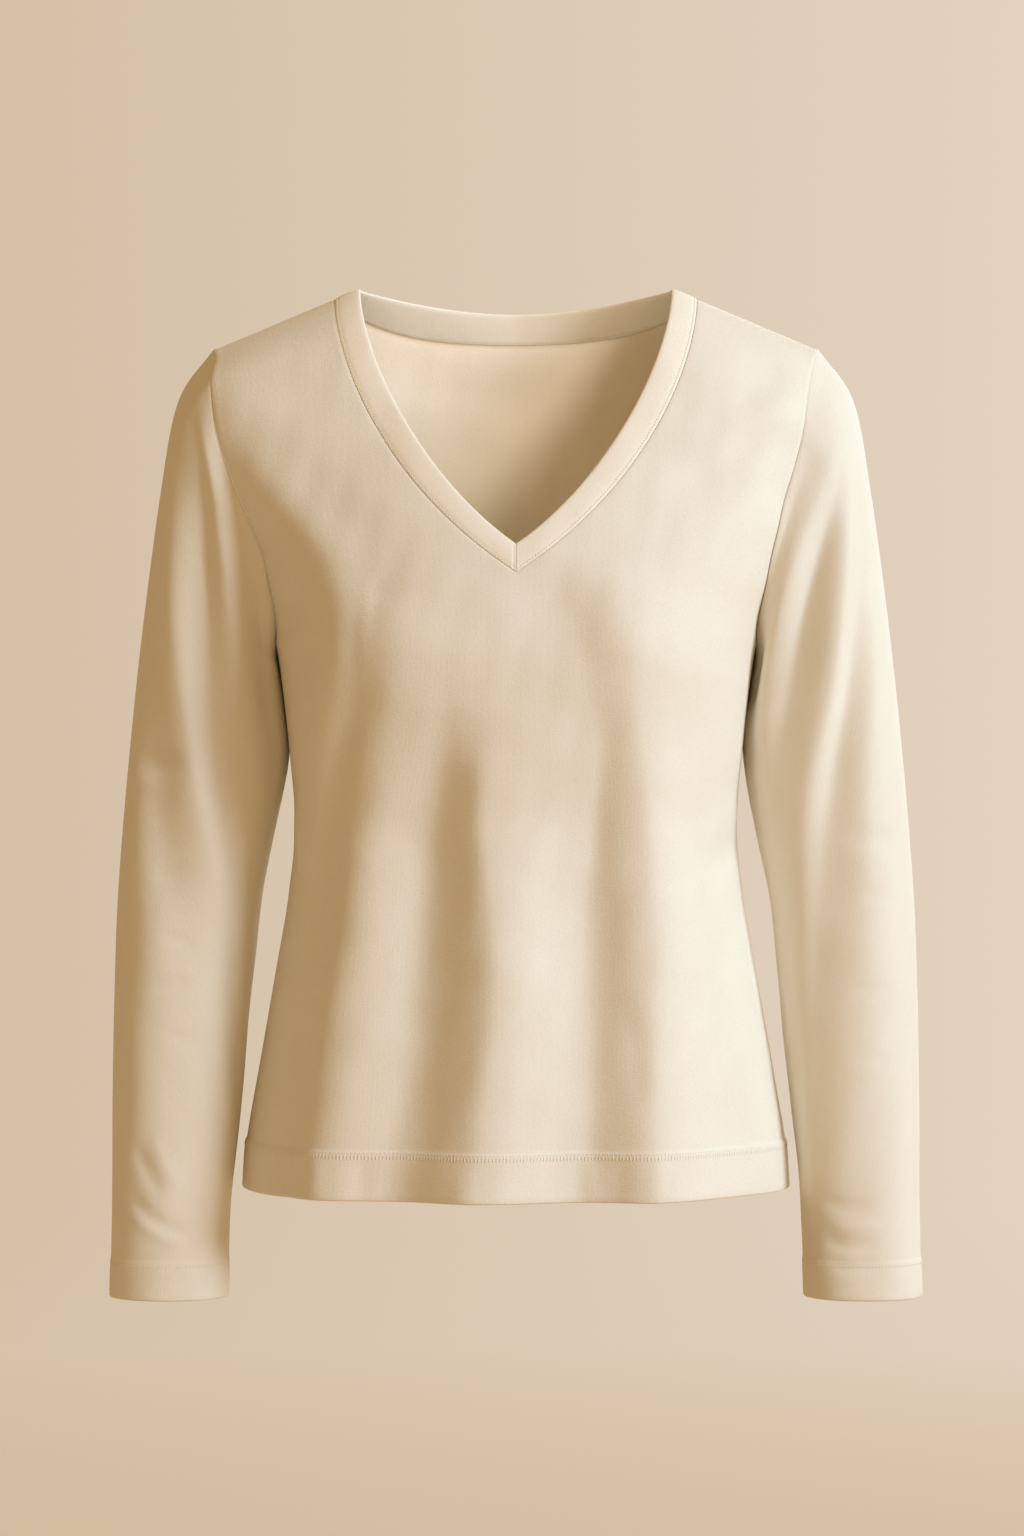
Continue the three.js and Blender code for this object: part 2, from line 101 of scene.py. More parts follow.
# Smaller ridges and troughs of the front: the path of each in x and z, its width, and how far it stands out
FRONT_CREASES = [
    # from the wearer's right armhole over the bust, and the hollow beside it
    ([(-186, -102), (-162, -126), (-138, -150), (-118, -176), (-108, -208), (-102, -250)], 19, 5.4),
    ([(-176, -150), (-160, -176), (-148, -200), (-142, -232)], 18, -3.0),
    # before the wearer's left armhole
    ([(172, -44), (154, -66), (136, -92)], 15, -2.2),
    ([(176, -84), (150, -100), (122, -118), (90, -146)], 13, -2.4),
    ([(186, -64), (150, -90), (118, -112), (96, -124)], 9, 1.6),
    ([(178, -84), (170, -112), (160, -156)], 9, -1.4),
    ([(168, -130), (140, -146), (112, -172), (92, -206)], 16, 1.8),
    # between the folds
    ([(12, -330), (6, -380), (2, -430)], 9, 0.8),
    ([(60, -300), (62, -350), (66, -410), (64, -470)], 8, 0.9),
    ([(66, -440), (72, -480), (76, -530)], 6, -0.8),
    ([(-78, -380), (-84, -440), (-92, -500)], 9, 0.6),
    # at the sides of the waist
    ([(-150, -330), (-128, -352), (-108, -362)], 9, 1.0),
    ([(-152, -352), (-132, -372), (-112, -380)], 8, -0.9),
    ([(150, -322), (132, -342), (112, -356)], 9, 1.0),
    ([(150, -346), (134, -364), (116, -374)], 8, -0.9),
    # in the turned-up hem
    ([(-119, -540), (-120, -556), (-121, -580)], 5, 1.0),
    ([(-94, -541), (-96, -558), (-98, -580)], 6, -0.9),
    ([(44, -541), (46, -556), (48, -580)], 5, 0.9),
    ([(64, -542), (64, -558), (62, -580)], 6, -0.7),
    ([(86, -541), (84, -556), (82, -580)], 5, 0.8),
    ([(-20, -542), (-22, -560), (-24, -580)], 8, -0.6),
]


def mix(a, b, share):
    return a + (b - a) * share


def ease(value):
    """From 0 to 1, soft at both ends."""
    value = np.clip(value, 0, 1)
    return value * value * (3 - 2 * value)


def hump(away, width):
    """1 in the middle of a soft ridge, falling off to nothing at about twice its width."""
    return np.exp(-((away / width) ** 2))


def swelling(x, z, middle_x, middle_z, wide, tall, out):
    """How far a round, soft swelling stands out."""
    return out * np.exp(-(((x - middle_x) / wide) ** 2) - ((z - middle_z) / tall) ** 2)


def unit(vectors):
    return vectors / np.linalg.norm(vectors, axis=-1, keepdims=True)


def along(places, values, place):
    """A smooth curve through a table, read at any place."""
    places, values, place = (np.asarray(a, float) for a in (places, values, place))
    if places[0] > places[-1]:
        places, values = places[::-1], values[::-1]
    before = np.maximum(np.arange(len(places)) - 1, 0)
    after = np.minimum(np.arange(len(places)) + 1, len(places) - 1)
    slopes = (values[after] - values[before]) / (places[after] - places[before])
    i = np.clip(np.searchsorted(places, place, side="right") - 1, 0, len(places) - 2)
    step = places[i + 1] - places[i]
    t = np.clip((place - places[i]) / step, 0, 1)
    bulge = t * (1 - t) ** 2 * slopes[i] - t**2 * (1 - t) * slopes[i + 1]
    return mix(values[i], values[i + 1], ease(t)) + step * bulge


def half_width(z):
    return along(BODY[:, 0], BODY[:, 1], z)


def ridge_z(x):
    """Height of the shoulder seam above a place across."""
    return -(np.abs(x) - NECK_POINT_X) * SHOULDER_SLOPE


def turn_at(x, z):
    """The turn round the body, from its middle (0) to its side, at which its section is x wide."""
    return np.arcsin(np.clip(x / half_width(z), 0, 1) ** (ROUNDNESS / 2))


def depth_at(side, z):
    return along(BODY[:, 0], BODY[:, 2 if side == "front" else 3], z)


def plain_body(side, half, turn, z):
    """The body's form before its folds, from the turn round it and the height. half is 1 on the wearer's left
    and -1 on the right."""
    x = half * half_width(z) * np.sin(turn) ** (2 / ROUNDNESS)
    out = depth_at(side, z) * np.clip(np.cos(turn), 0, None) ** (2 / ROUNDNESS)
    under = np.clip((ridge_z(x) - z) / ARCH, 0, 1)
    y = (-1 if side == "front" else 1) * (out * np.sqrt(1 - (1 - under) ** 2) + 0.05)
    return np.stack([x, y, z + 0 * x], -1)


def hanging_folds(lines, x, z):
    """How far the hanging folds stand out. The cloth swings smoothly from each ridge to the next trough."""
    places = [along(line[0], line[1], z) for line in lines]
    for k in range(1, len(places)):
        places[k] = np.maximum(places[k], places[k - 1] + 2)
    outs = [along(line[0], line[2], z) for line in lines]
    sharp = [line[3] if len(line) > 3 else 0 for line in lines]
    total = np.zeros_like(x)
    for k in range(len(lines) - 1):
        share = np.clip((x - places[k]) / (places[k + 1] - places[k]), 0, 1)
        between = (x >= places[k]) & (x < places[k + 1])
        swing = mix(ease(share), share * (2 - share), sharp[k])
        swing = mix(swing, share**2, sharp[k + 1])
        total = np.where(between, mix(outs[k], outs[k + 1], swing), total)
    return total


def creases(table, u, v, whole_turn=None):
    """How far soft ridges and troughs stand out. Each fades at both ends of its path. On a tube it goes on
    across the place where the turn begins again."""
    total = np.zeros_like(u)
    for path, width, out in table:
        points = np.array(path, float)
        fine = np.linspace(0, len(points) - 1, 4 * (len(points) - 1) + 1)
        knots = np.arange(len(points))
        points = np.stack([along(knots, points[:, 0], fine), along(knots, points[:, 1], fine)], -1)
        spans = np.linalg.norm(np.diff(points, axis=0), axis=1)
        starts = np.concatenate([[0], np.cumsum(spans)])
        for shift in (0,) if whole_turn is None else (-whole_turn, 0, whole_turn):
            nearest = np.full(u.shape, 1e9)
            place = np.zeros(u.shape)
            for i, (a, b) in enumerate(zip(points[:-1], points[1:])):
                across, down = b - a
                beside, below = u + shift - a[0], v - a[1]
                share = np.clip((beside * across + below * down) / spans[i] ** 2, 0, 1)
                away = np.hypot(beside - share * across, below - share * down)
                closer = away < nearest
                nearest = np.where(closer, away, nearest)
                place = np.where(closer, (starts[i] + share * spans[i]) / starts[-1], place)
            fade = ease(place / 0.35) * ease((1 - place) / 0.35)
            total += out * fade * hump(nearest, width)
    return total


def ripples(u, v, seed, sizes=((90, 0.5), (46, 0.32), (24, 0.16))):
    """The slight unevenness of soft cloth, the same on every run, in waves of these lengths and heights."""
    waves = 5
    chance = np.random.default_rng(seed)
    total = np.zeros_like(u)
    for size, out in sizes:
        for _ in range(waves):
            angle, phase = chance.uniform(0, 2 * np.pi, 2)
            wave = 2 * np.pi / (size * chance.uniform(0.8, 1.25))
            total += out / waves**0.5 * np.sin(wave * (u * np.cos(angle) + 0.6 * v * np.sin(angle)) + phase)
    return total


def measured(points):
    """Distance run along a line of points."""
    return np.concatenate([[0], np.cumsum(np.linalg.norm(np.diff(points, axis=0), axis=1))])


def spread(length, count, close=CLOSE, both=True):
    """Places along a length: close together at its seams, even between."""
    start = np.array([0, *close]) if both else np.array([0.0])
    end = length - np.array([*close[::-1], 0])
    return np.concatenate([start, np.linspace(start[-1], end[0], count)[1:-1], end])


def face_normals(points, quads):
    a, b, c, d = (points[quads[:, i]] for i in range(4))
    out = np.cross(c - a, d - b)
    normals = np.zeros_like(points)
    for i in range(4):
        np.add.at(normals, quads[:, i], out)
    return normals / np.maximum(np.linalg.norm(normals, axis=1, keepdims=True), 1e-9)


def curve_at(points, share):
    """x and z on the smooth curve that four points draw."""
    share = np.asarray(share, float)
    rest = 1 - share
    weights = [rest**3, 3 * rest**2 * share, 3 * rest * share**2, share**3]
    return tuple(sum(w * p[axis] for w, p in zip(weights, points)) for axis in (0, 1))


def armhole(side, share):
    """The armhole edge of a panel, from the underarm (0) to the end of the shoulder seam (1)."""
    z = mix(UNDERARM_Z, ridge_z(SHOULDER_X), (1 - np.cos(np.pi * share)) / 2)
    dip = math.radians(ARMHOLE_DIP[side]) * np.sin(np.pi * share)
    turn = mix(np.pi / 2, turn_at(SHOULDER_X, ridge_z(SHOULDER_X)), share) - dip
    return half_width(z) * np.sin(turn) ** (2 / ROUNDNESS), z


def on_body(side, x, z):
    """The point of the plain body at x and z, on the wearer's left."""
    return plain_body(side, 1, turn_at(x, z), z)


def evenly(read, side, wanted):
    """Shares at which a line on the body has run the wanted parts of its length."""
    share = np.linspace(0, 1, 3000)
    share = np.sort(np.concatenate([share, 1 - (1 - share) ** 4, share**4]))
    run = measured(on_body(side, *read(share)))
    return np.interp(np.asarray(wanted) * run[-1], run, share)


def roll(distance, depth=0.3, reach=0.9):
    """How far an edge rolls in as it comes to its seam."""
    return depth * np.exp(-((np.clip(distance, 0, None) / reach) ** 2))


def round_length(side, x, z):
    """Distance round the body from its middle, for the cloth's own coordinates."""
    shares = np.linspace(0, 1, 25)[:, None]
    turns = turn_at(np.abs(x), z)[None] * shares
    px = half_width(z) * np.sin(turns) ** (2 / ROUNDNESS)
    py = depth_at(side, z) * np.clip(np.cos(turns), 0, None) ** (2 / ROUNDNESS)
    return np.sign(x) * np.hypot(np.diff(px, axis=0), np.diff(py, axis=0)).sum(0)


def make_mesh(name, points, faces, uv=None):
    """A smooth mesh from points and coordinates in mm and a list of faces."""
    mesh = bpy.data.meshes.new(name)
    mesh.from_pydata((np.asarray(points) * 0.001).tolist(), [], faces)
    mesh.polygons.foreach_set("use_smooth", [True] * len(mesh.polygons))
    if uv is not None:
        layer = mesh.uv_layers.new(name="cloth")
        corners = np.empty(len(mesh.loops), dtype=np.int32)
        mesh.loops.foreach_get("vertex_index", corners)
        layer.data.foreach_set("uv", (np.asarray(uv)[corners] * 0.001).astype(np.float32).ravel())
    mesh.update()
    piece = bpy.data.objects.new(name, mesh)
    bpy.context.scene.collection.objects.link(piece)
    return piece


def make_cloth(name, points, quads, uv):
    """A sheet of cloth with its thickness on the inside, applied to the mesh."""
    piece = make_mesh(name, points, quads.tolist(), uv)
    solid = piece.modifiers.new("thickness", "SOLIDIFY")
    solid.thickness = JERSEY_THICK * 0.001
    solid.offset = -1
    solid.use_rim = True
    bpy.context.view_layer.objects.active = piece
    bpy.ops.object.modifier_apply(modifier=solid.name)
    return piece


def turned_hem(points, normals, rows, uv, out_turn):
    """The edge of a sheet turned to the inside: a tight round fold, then a second layer up to the seam.
    rows holds the sheet's own rows from its edge upwards, and out_turn the way the fold points."""
    edge = rows[0]
    layer, flat = [], []
    for angle in np.radians([30, 60, 90, 120, 150]):
        inward = normals[edge] * FOLD * (1 - np.cos(angle))
        layer.append(points[edge] - inward + out_turn * FOLD * np.sin(angle))
        flat.append(uv[edge] - np.array([0, FOLD * angle]))
    for row in rows:
        uneven = 0.05 * np.sin(0.21 * np.arange(len(row)))[:, None]
        layer.append(points[row] - normals[row] * (2 * FOLD + uneven))
        flat.append(uv[edge] - np.array([0, FOLD * np.pi]) - (uv[row] - uv[edge]) * np.array([0, 1]))
    return layer, flat


class Shade:
    """One output in a material, so that its sums can be written as sums."""

    def __init__(self, tree, socket):
        self.tree, self.socket = tree, socket

    def node(self, kind, inputs, output=0, **settings):
        made = self.tree.nodes.new(kind)
        for key, value in settings.items():
            setattr(made, key, value)
        for key, value in inputs.items():
            if isinstance(value, Shade):
                value.into(made.inputs[key])
            else:
                made.inputs[key].default_value = value
        return Shade(self.tree, made.outputs[output])

    def other(self, output):
        """Another output of the same node."""
        return Shade(self.tree, self.socket.node.outputs[output])

    def into(self, socket):
        self.tree.links.new(self.socket, socket)

    def math(self, operation, other=0.0):
        return self.node("ShaderNodeMath", {0: self, 1: other}, operation=operation)

    def between(self, low, high):
        return self.math("MAXIMUM", low).math("MINIMUM", high)

    def colour(self, first, second):
        """The first colour where this is 0, the second where it is 1."""
        inputs = {0: self, 6: (*first, 1), 7: (*second, 1)}
        return self.node("ShaderNodeMix", inputs, output=2, data_type="RGBA")

    def __add__(self, other):
        return self.math("ADD", other)

    def __sub__(self, other):
        return self.math("SUBTRACT", other)

    def __mul__(self, other):
        return self.math("MULTIPLY", other)

    def __truediv__(self, other):
        return self.math("DIVIDE", other)

    __radd__ = __add__
    __rmul__ = __mul__

    def __rsub__(self, other):
        return self * -1.0 + other


def new_material(name, coordinates):
    """A material, its surface, and the coordinates that its patterns read."""
    material = bpy.data.materials.new(name)
    material.use_nodes = True
    tree = material.node_tree
    place = tree.nodes.new("ShaderNodeTexCoord")
    return material, tree.nodes["Principled BSDF"], Shade(tree, place.outputs[coordinates])


WALE = 0.00072  # m from one column of loops to the next
COURSE = 0.00056  # m from one row of loops to the next


def jersey(name, light, deep):
    """Fine cotton jersey: columns of small v loops, threads of uneven thickness, a soft dry nap."""
    material, surface, cloth = new_material(name, "UV")

    def noise(place, scale, detail, rough):
        inputs = {"Vector": place, "Scale": scale, "Detail": detail, "Roughness": rough}
        return cloth.node("ShaderNodeTexNoise", inputs, noise_dimensions="2D")

    across = cloth.node("ShaderNodeSeparateXYZ", {0: cloth})
    up = across.other(1)
    # loops: each leans to both sides of its column
    wale = (across * (2 * math.pi / WALE)).math("COSINE")
    lean = wale.math("ABSOLUTE") * 1.1
    course = (up * (2 * math.pi / COURSE) + lean * 2.4).math("SINE")
    loops = wale * 0.5 + course * 0.35
    # threads: long thin unevenness along the rows, and a fainter one along the columns
    courses = noise(cloth.node("ShaderNodeMapping", {0: cloth, 3: (260.0, 1700.0, 1.0)}), 1.0, 2.0, 0.6)
    wales = noise(cloth.node("ShaderNodeMapping", {0: cloth, 3: (1300.0, 190.0, 1.0)}), 1.0, 2.0, 0.6)
    fluff = noise(cloth, 620.0, 3.0, 0.65)
    patch = noise(cloth, 42.0, 3.0, 0.55)
    uneven = (courses - 0.5) * 0.55 + (wales - 0.5) * 0.5 + (fluff - 0.5) * 0.6 + (patch - 0.5) * 0.35
    tone = (uneven * 0.9 + loops * 0.05 + 0.62).between(0.0, 1.0)
    tone.colour(deep, light).into(surface.inputs["Base Color"])
    rough = (fluff - 0.5) * 0.16 + loops * 0.02 + 0.86
    rough.into(surface.inputs["Roughness"])
    height = loops * 0.5 + (courses - 0.5) * 1.4 + (wales - 0.5) * 1.2 + (fluff - 0.5) * 1.6
    bump = cloth.node("ShaderNodeBump", {"Strength": 0.35, "Distance": 0.00022, "Height": height})
    bump.into(surface.inputs["Normal"])
    surface.inputs["Sheen Weight"].default_value = 0.22
    surface.inputs["Sheen Roughness"].default_value = 0.45
    surface.inputs["Sheen Tint"].default_value = (1.0, 0.95, 0.88, 1)
    surface.inputs["Specular IOR Level"].default_value = 0.25
    return material


body_jersey = jersey("cream_jersey", (0.89, 0.845, 0.765), (0.80, 0.745, 0.655))

ACROSS = np.linspace(0, 1, 400)
SIDEWAYS = np.sin(ACROSS * np.pi / 2) ** (2 / ROUNDNESS)
V_TIP = NECK_SEAM["front"][3][1]
FRONT_COLUMNS = 76  # evenly spaced, with a few close ones besides at both ends
BELOW_V = 15  # rows from the underarm up to the point of the v
ABOVE_V = 84  # evenly spaced rows from there up, with a few close ones besides at the shoulder
NECK_CLOSE = CLOSE / 245  # the same as shares of half the neckline, a little wider as that is 262 mm long
TO_V = 0.15  # share of the armhole that the rows below the v take up


def body_heights():
    """Heights of the rows from the fold of the hem to the underarm."""
    low = HEM_Z + FOLD + HEM_ROWS
    close = low[-1] + np.array([0.9, 1.8, 3.0])
    return np.concatenate([low, close, np.linspace(close[-1], UNDERARM_Z, 102)[1:]])


def front_rows():
    """Rows of the front's left half, from the hem up, each from the middle or the neckline out to the side.
    With them come the shares of the neck seam, from the v up, and each row's share of the armhole."""
    rows = [(half_width(z) * SIDEWAYS, np.full_like(SIDEWAYS, z)) for z in body_heights()]
    lower = np.arange(1, BELOW_V + 1) / BELOW_V
    upper = spread(1, ABOVE_V, NECK_CLOSE, both=False)
    seam = 1 - evenly(lambda s: curve_at(NECK_SEAM["front"], 1 - s), "front", upper)
    # the outer ends run up the armhole in step with the rows
    step = np.concatenate([lower * TO_V, TO_V + (1 - TO_V) * upper[1:]])
    hole = evenly(lambda s: armhole("front", s), "front", step)
    starts = [(0.0, mix(UNDERARM_Z, V_TIP, s)) for s in lower]
    starts += zip(*curve_at(NECK_SEAM["front"], seam[1:]))
    for start, share, place in zip(starts, hole, step):
        end = armhole("front", share)
        across = mix(SIDEWAYS, ACROSS, place)
        rows.append((mix(start[0], end[0], across), mix(start[1], end[1], across)))
    return rows, seam, np.concatenate([np.zeros(len(body_heights())), hole])


def even_columns(side, rows, columns):
    """The rows' x and z, in even steps along the cloth that are closer at both ends, and how far each point
    lies from its row's inner and outer end."""
    found = []
    for x, z in rows:
        run = measured(on_body(side, x, z))
        wanted = spread(run[-1], columns)
        found.append((np.interp(wanted, run, x), np.interp(wanted, run, z), wanted, run[-1] - wanted))
    return (np.array(column) for column in zip(*found))


def assemble(side, xs, zs, joined):
    """Both halves of a panel as one sheet, which share the middle column up to the row named. index gives the
    point at each row and column of each half."""
    rows, columns = xs.shape
    left = np.arange(rows * columns).reshape(rows, columns)
    right = left + rows * columns
    right[: joined + 1, 0] = left[: joined + 1, 0]
    used, place = np.unique(np.concatenate([left.ravel(), right.ravel()]), return_inverse=True)
    index = place.reshape(2, rows, columns)
    half = np.repeat([1.0, -1.0], rows * columns)[used]
    x = np.tile(xs.ravel(), 2)[used]
    z = np.tile(zs.ravel(), 2)[used]
    points = plain_body(side, half, turn_at(x, z), z)
    quads = []
    for h, grid in enumerate(index):
        a, b, c, d = grid[:-1, :-1], grid[:-1, 1:], grid[1:, 1:], grid[1:, :-1]
        around = [a, b, c, d] if (h == 0) == (side == "front") else [a, d, c, b]
        quads.append(np.stack([q.ravel() for q in around], -1))
    return points, np.concatenate(quads), index, half * x, z


def shaped(side, points, quads, x, z, lines, table, seed):
    """The panel with its fullness, its hanging folds, its creases and the slight unevenness of cloth."""
    facing = np.cos(turn_at(np.abs(x), z))
    under = ridge_z(x) - z
    near_top = ease(under / 30)
    # the folds and the fullness fade out where the panel turns away to its side
    place = np.clip(facing * 3, 0, 1)
    out = hanging_folds(lines, x, z) * place
    if side == "front":
        aside = np.sqrt(x * x + 14 * 14) - 1.3
        out += swelling(aside, z, *FULLNESS) * place
        for place_and_size in CHEST:
            out += swelling(x, z, *place_and_size) * near_top
    small = creases(table, x, z) + ripples(x, z, seed) * ease(under / 60)
    out += small * near_top * np.clip(facing * 4, 0.15, 1)
    # folds stand out nearly level, also where the cloth slopes to the shoulder
    level = unit(face_normals(points, quads) * np.array([1, 1, 0.35]))
    return points + level * out[:, None]


def on_points(index, values):
    """Values that both halves have at the same row and column, given to the points."""
    given = np.zeros(index.max() + 1)
    given[index] = values
    return given


def distance_from(points, index, edge, near):
    """Distance of the points near an edge from that edge, each along its own row or column."""
    away = np.full(len(points), FAR)
    for half in index:
        grid = points[half]
        away[half[near]] = np.linalg.norm(grid[near] - grid[edge], axis=-1)
    return away


def open_edges(points, quads, index, neck, neck_share):
    """The armhole and the neck edge of each half, with the way the cloth faces there."""
    normals = face_normals(points, quads)
    return {
        "hole": [(points[half[:, -1]], normals[half[:, -1]]) for half in index],
        "neck": [(points[half[neck]], normals[half[neck]]) for half in index],
        "neck_share": neck_share,
    }


def pinch(share):
    """How deep the armhole seam is drawn in, from its share of the way up the armhole."""
    return 1.4 * ease(share / 0.14) * ease((0.62 - share) / 0.3)


def finish_edges(points, quads, near_side, near_neck, near_top, z, hole_share):
    """Seam allowances under the edges, the hem standing slightly proud, and the roll into each seam."""
    upper = z > UNDERARM_Z
    above_hem = z - (HEM_Z + HEM_DEPTH)
    out = np.where(upper, 0.16 * ease((6 - near_side) / 3), 0.0)
    out += 0.15 * ease((5 - near_top) / 2.5)
    out += 0.8 * ease((1.8 - above_hem) / 3.2) + 0.22 * hump(above_hem + 0.2, 1.8)
    at_side = np.where(upper, roll(near_side), roll(near_side, 0.1))
    out -= np.maximum.reduce([at_side, roll(near_neck, 0.25), roll(near_top)])
    out -= pinch(hole_share) * hump(near_side, 9)
    return points + face_normals(points, quads) * out[:, None]


rows, neck_shares, front_hole_share = front_rows()
below_v = len(body_heights()) - 1 + BELOW_V
xs, zs, near_left, near_side = even_columns("front", rows, FRONT_COLUMNS)
points, quads, index, x, z = assemble("front", xs, zs, below_v)
points = shaped("front", points, quads, x, z, FRONT_LINES, FRONT_CREASES, 11)
front_edges = open_edges(points, quads, index, np.s_[below_v:, 0], neck_shares)
row_of = on_points(index, np.arange(len(rows))[:, None]).astype(int)
near_left = on_points(index, near_left)
# rows meet the neckline at a slant, so its seam is nearer than it is along the row
slanted = near_left * 0.82
near_neck = np.where(row_of >= below_v, slanted, np.hypot(near_left, np.clip(V_TIP - z, 0, None)))
near_top = distance_from(points, index, np.s_[-1:], np.s_[-12:])
near_side = on_points(index, near_side)
points = finish_edges(points, quads, near_side, near_neck, near_top, z, front_hole_share[row_of])
uv = np.stack([round_length("front", x, z), z], -1)


def whole_row(index, row):
    """One row of a panel from the wearer's right to the left."""
    return np.concatenate([index[1][row, :0:-1], index[0][row]])


def add_body_hem(points, quads, index, uv, side):
    """The turned-up hem, added below and behind the panel's lowest rows."""
    normals = unit(face_normals(points, quads) * np.array([1, 1, 0]))
    rows = [whole_row(index, row) for row in range(len(HEM_ROWS))]
    layer, flat = turned_hem(points, normals, rows, uv, np.array([0, 0, -1.0]))
    count, width = len(points), len(rows[0])
    grid = [rows[0]] + [count + i * width + np.arange(width) for i in range(len(layer))]
    extra = []
    for low, high in zip(grid[:-1], grid[1:]):
        around = np.stack([low[:-1], high[:-1], high[1:], low[1:]], -1)
        extra.append(around if side == "front" else around[:, ::-1])
    return np.concatenate([points, *layer]), np.concatenate([quads, *extra]), np.concatenate([uv, *flat])


points, quads, uv = add_body_hem(points, quads, index, uv, "front")
front_piece = make_cloth("front_panel", points, quads, uv)
front_piece.data.materials.append(body_jersey)
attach(front_piece, "root")
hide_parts("front")
front_points, front_index = points, index


# ---------------------------------------------------------------- the back
# The back is one piece of the same jersey, cut higher at the neck and with the same armholes and hem.
# It joins the front at the side and shoulder seams, and hangs in folds of its own from the shoulder blades.

NECK_COLUMN = 60  # the column that runs up to the corner of the neckline and the shoulder seam
NECK_END = 9 / 13  # that column's share of the way from the middle to the armhole
BACK_LINES = [
    ((-250, -574), (-148, -170), (0, 0)),
    ((-262, -330, -420, -574), (-90, -94, -99, -111), (0, 3.6, 5.8, 6.6)),
    ((-280, -350, -440, -574), (-40, -44, -52, -60), (0, -3.8, -6, -6.6), 0.15),
    ((-270, -340, -430, -574), (-12, -7, 1, 6), (0, 3.2, 5.8, 6.4)),
    ((-284, -360, -450, -574), (38, 42, 48, 58), (0, -3.6, -5.8, -6.4), 0.15),
    ((-262, -340, -450, -574), (82, 87, 96, 106), (0, 3.4, 6, 6.6)),
    ((-270, -400, -574), (124, 128, 143), (0, -2, -2.6)),
    ((-250, -574), (149, 169), (0, 0)),
]
BACK_CREASES = [
    # drags from the armholes towards the shoulder blades
    ([(-184, -96), (-158, -122), (-128, -144), (-92, -170), (-70, -206)], 18, 3.2),
    ([(-178, -140), (-156, -172), (-134, -204), (-120, -240)], 20, -2.6),
    ([(184, -90), (156, -118), (124, -142), (94, -172), (76, -214)], 18, 3.0),
    ([(176, -146), (158, -176), (136, -206), (124, -238)], 20, -2.8),
    ([(-150, -62), (-124, -84), (-92, -104), (-56, -118)], 14, -1.6),
    ([(152, -58), (122, -82), (88, -98), (52, -114)], 13, -1.5),
    ([(-60, -52), (-30, -64), (10, -66), (48, -54)], 12, 1.0),
    ([(-44, -84), (-8, -92), (36, -88)], 14, -0.9),
    # the small of the back
    ([(-136, -322), (-104, -336), (-66, -338), (-30, -330)], 13, 2.0),
    ([(-140, -350), (-108, -364), (-72, -368), (-40, -358)], 11, -1.6),
    ([(136, -316), (100, -334), (62, -342), (26, -336)], 13, 1.8),
    ([(138, -346), (104, -362), (70, -368), (44, -360)], 11, -1.4),
    ([(-24, -300), (0, -306), (26, -300)], 12, -1.0),
    ([(70, -420), (76, -470), (82, -530)], 8, -0.8),
    ([(-76, -420), (-82, -470), (-88, -530)], 8, 0.8),
    ([(-112, -540), (-112, -558), (-113, -580)], 5, 0.9),
    ([(-36, -541), (-38, -558), (-40, -580)], 6, -0.8),
    ([(24, -541), (26, -558), (28, -580)], 5, 0.8),
    ([(92, -541), (94, -556), (96, -580)], 6, -0.8),
]


def back_rows():
    """Columns first, as they run up to the neckline and to the shoulder seam, then read row by row."""
    under_neck, under_shoulder = np.linspace(0, NECK_END, NECK_COLUMN + 1), np.linspace(NECK_END, 1, 29)
    across = np.unique(np.concatenate([under_neck, under_shoulder]))
    corner_x, corner_z = NECK_SEAM["back"][0]
    tip_x, tip_z = armhole("back", 1.0)
    head_x, head_z = curve_at(NECK_SEAM["back"], 1 - np.clip(across / NECK_END, 0, 1))
    beyond_neck = np.clip((across - NECK_END) / (1 - NECK_END), 0, 1)
    head_x = np.where(across > NECK_END, mix(corner_x, tip_x, beyond_neck), head_x)
    head_z = np.where(across > NECK_END, mix(corner_z, tip_z, beyond_neck), head_z)
    foot_x = half_width(UNDERARM_Z) * np.sin(across * np.pi / 2) ** (2 / ROUNDNESS)
    rise = 1 - (1 - np.linspace(0, 1, 600)) ** 2
    share = evenly(lambda s: armhole("back", s), "back", rise)
    hole_x, hole_z = armhole("back", share)
    # each column follows the armhole's curve the more, the nearer it is to it
    bend_x = hole_x - mix(foot_x[-1], head_x[-1], rise)
    bend_z = hole_z - mix(UNDERARM_Z, head_z[-1], rise)
    xs, zs = [], []
    for a, fx, hx, hz in zip(across, foot_x, head_x, head_z):
        x = mix(fx, hx, rise) + a**2 * bend_x
        z = mix(UNDERARM_Z, hz, rise) + a**2 * bend_z
        run = measured(on_body("back", x, z))
        wanted = spread(run[-1], 86, both=False)
        xs.append(np.interp(wanted, run, x))
        zs.append(np.interp(wanted, run, z))
    return across, np.array(xs).T, np.array(zs).T, share, hole_z


across, upper_x, upper_z, hole_shares, hole_z = back_rows()
heights = body_heights()[:-1]
lower_x = half_width(heights)[:, None] * np.sin(across[None] * np.pi / 2) ** (2 / ROUNDNESS)
xs = np.concatenate([lower_x, upper_x])
zs = np.concatenate([np.repeat(heights[:, None], len(across), 1), upper_z])
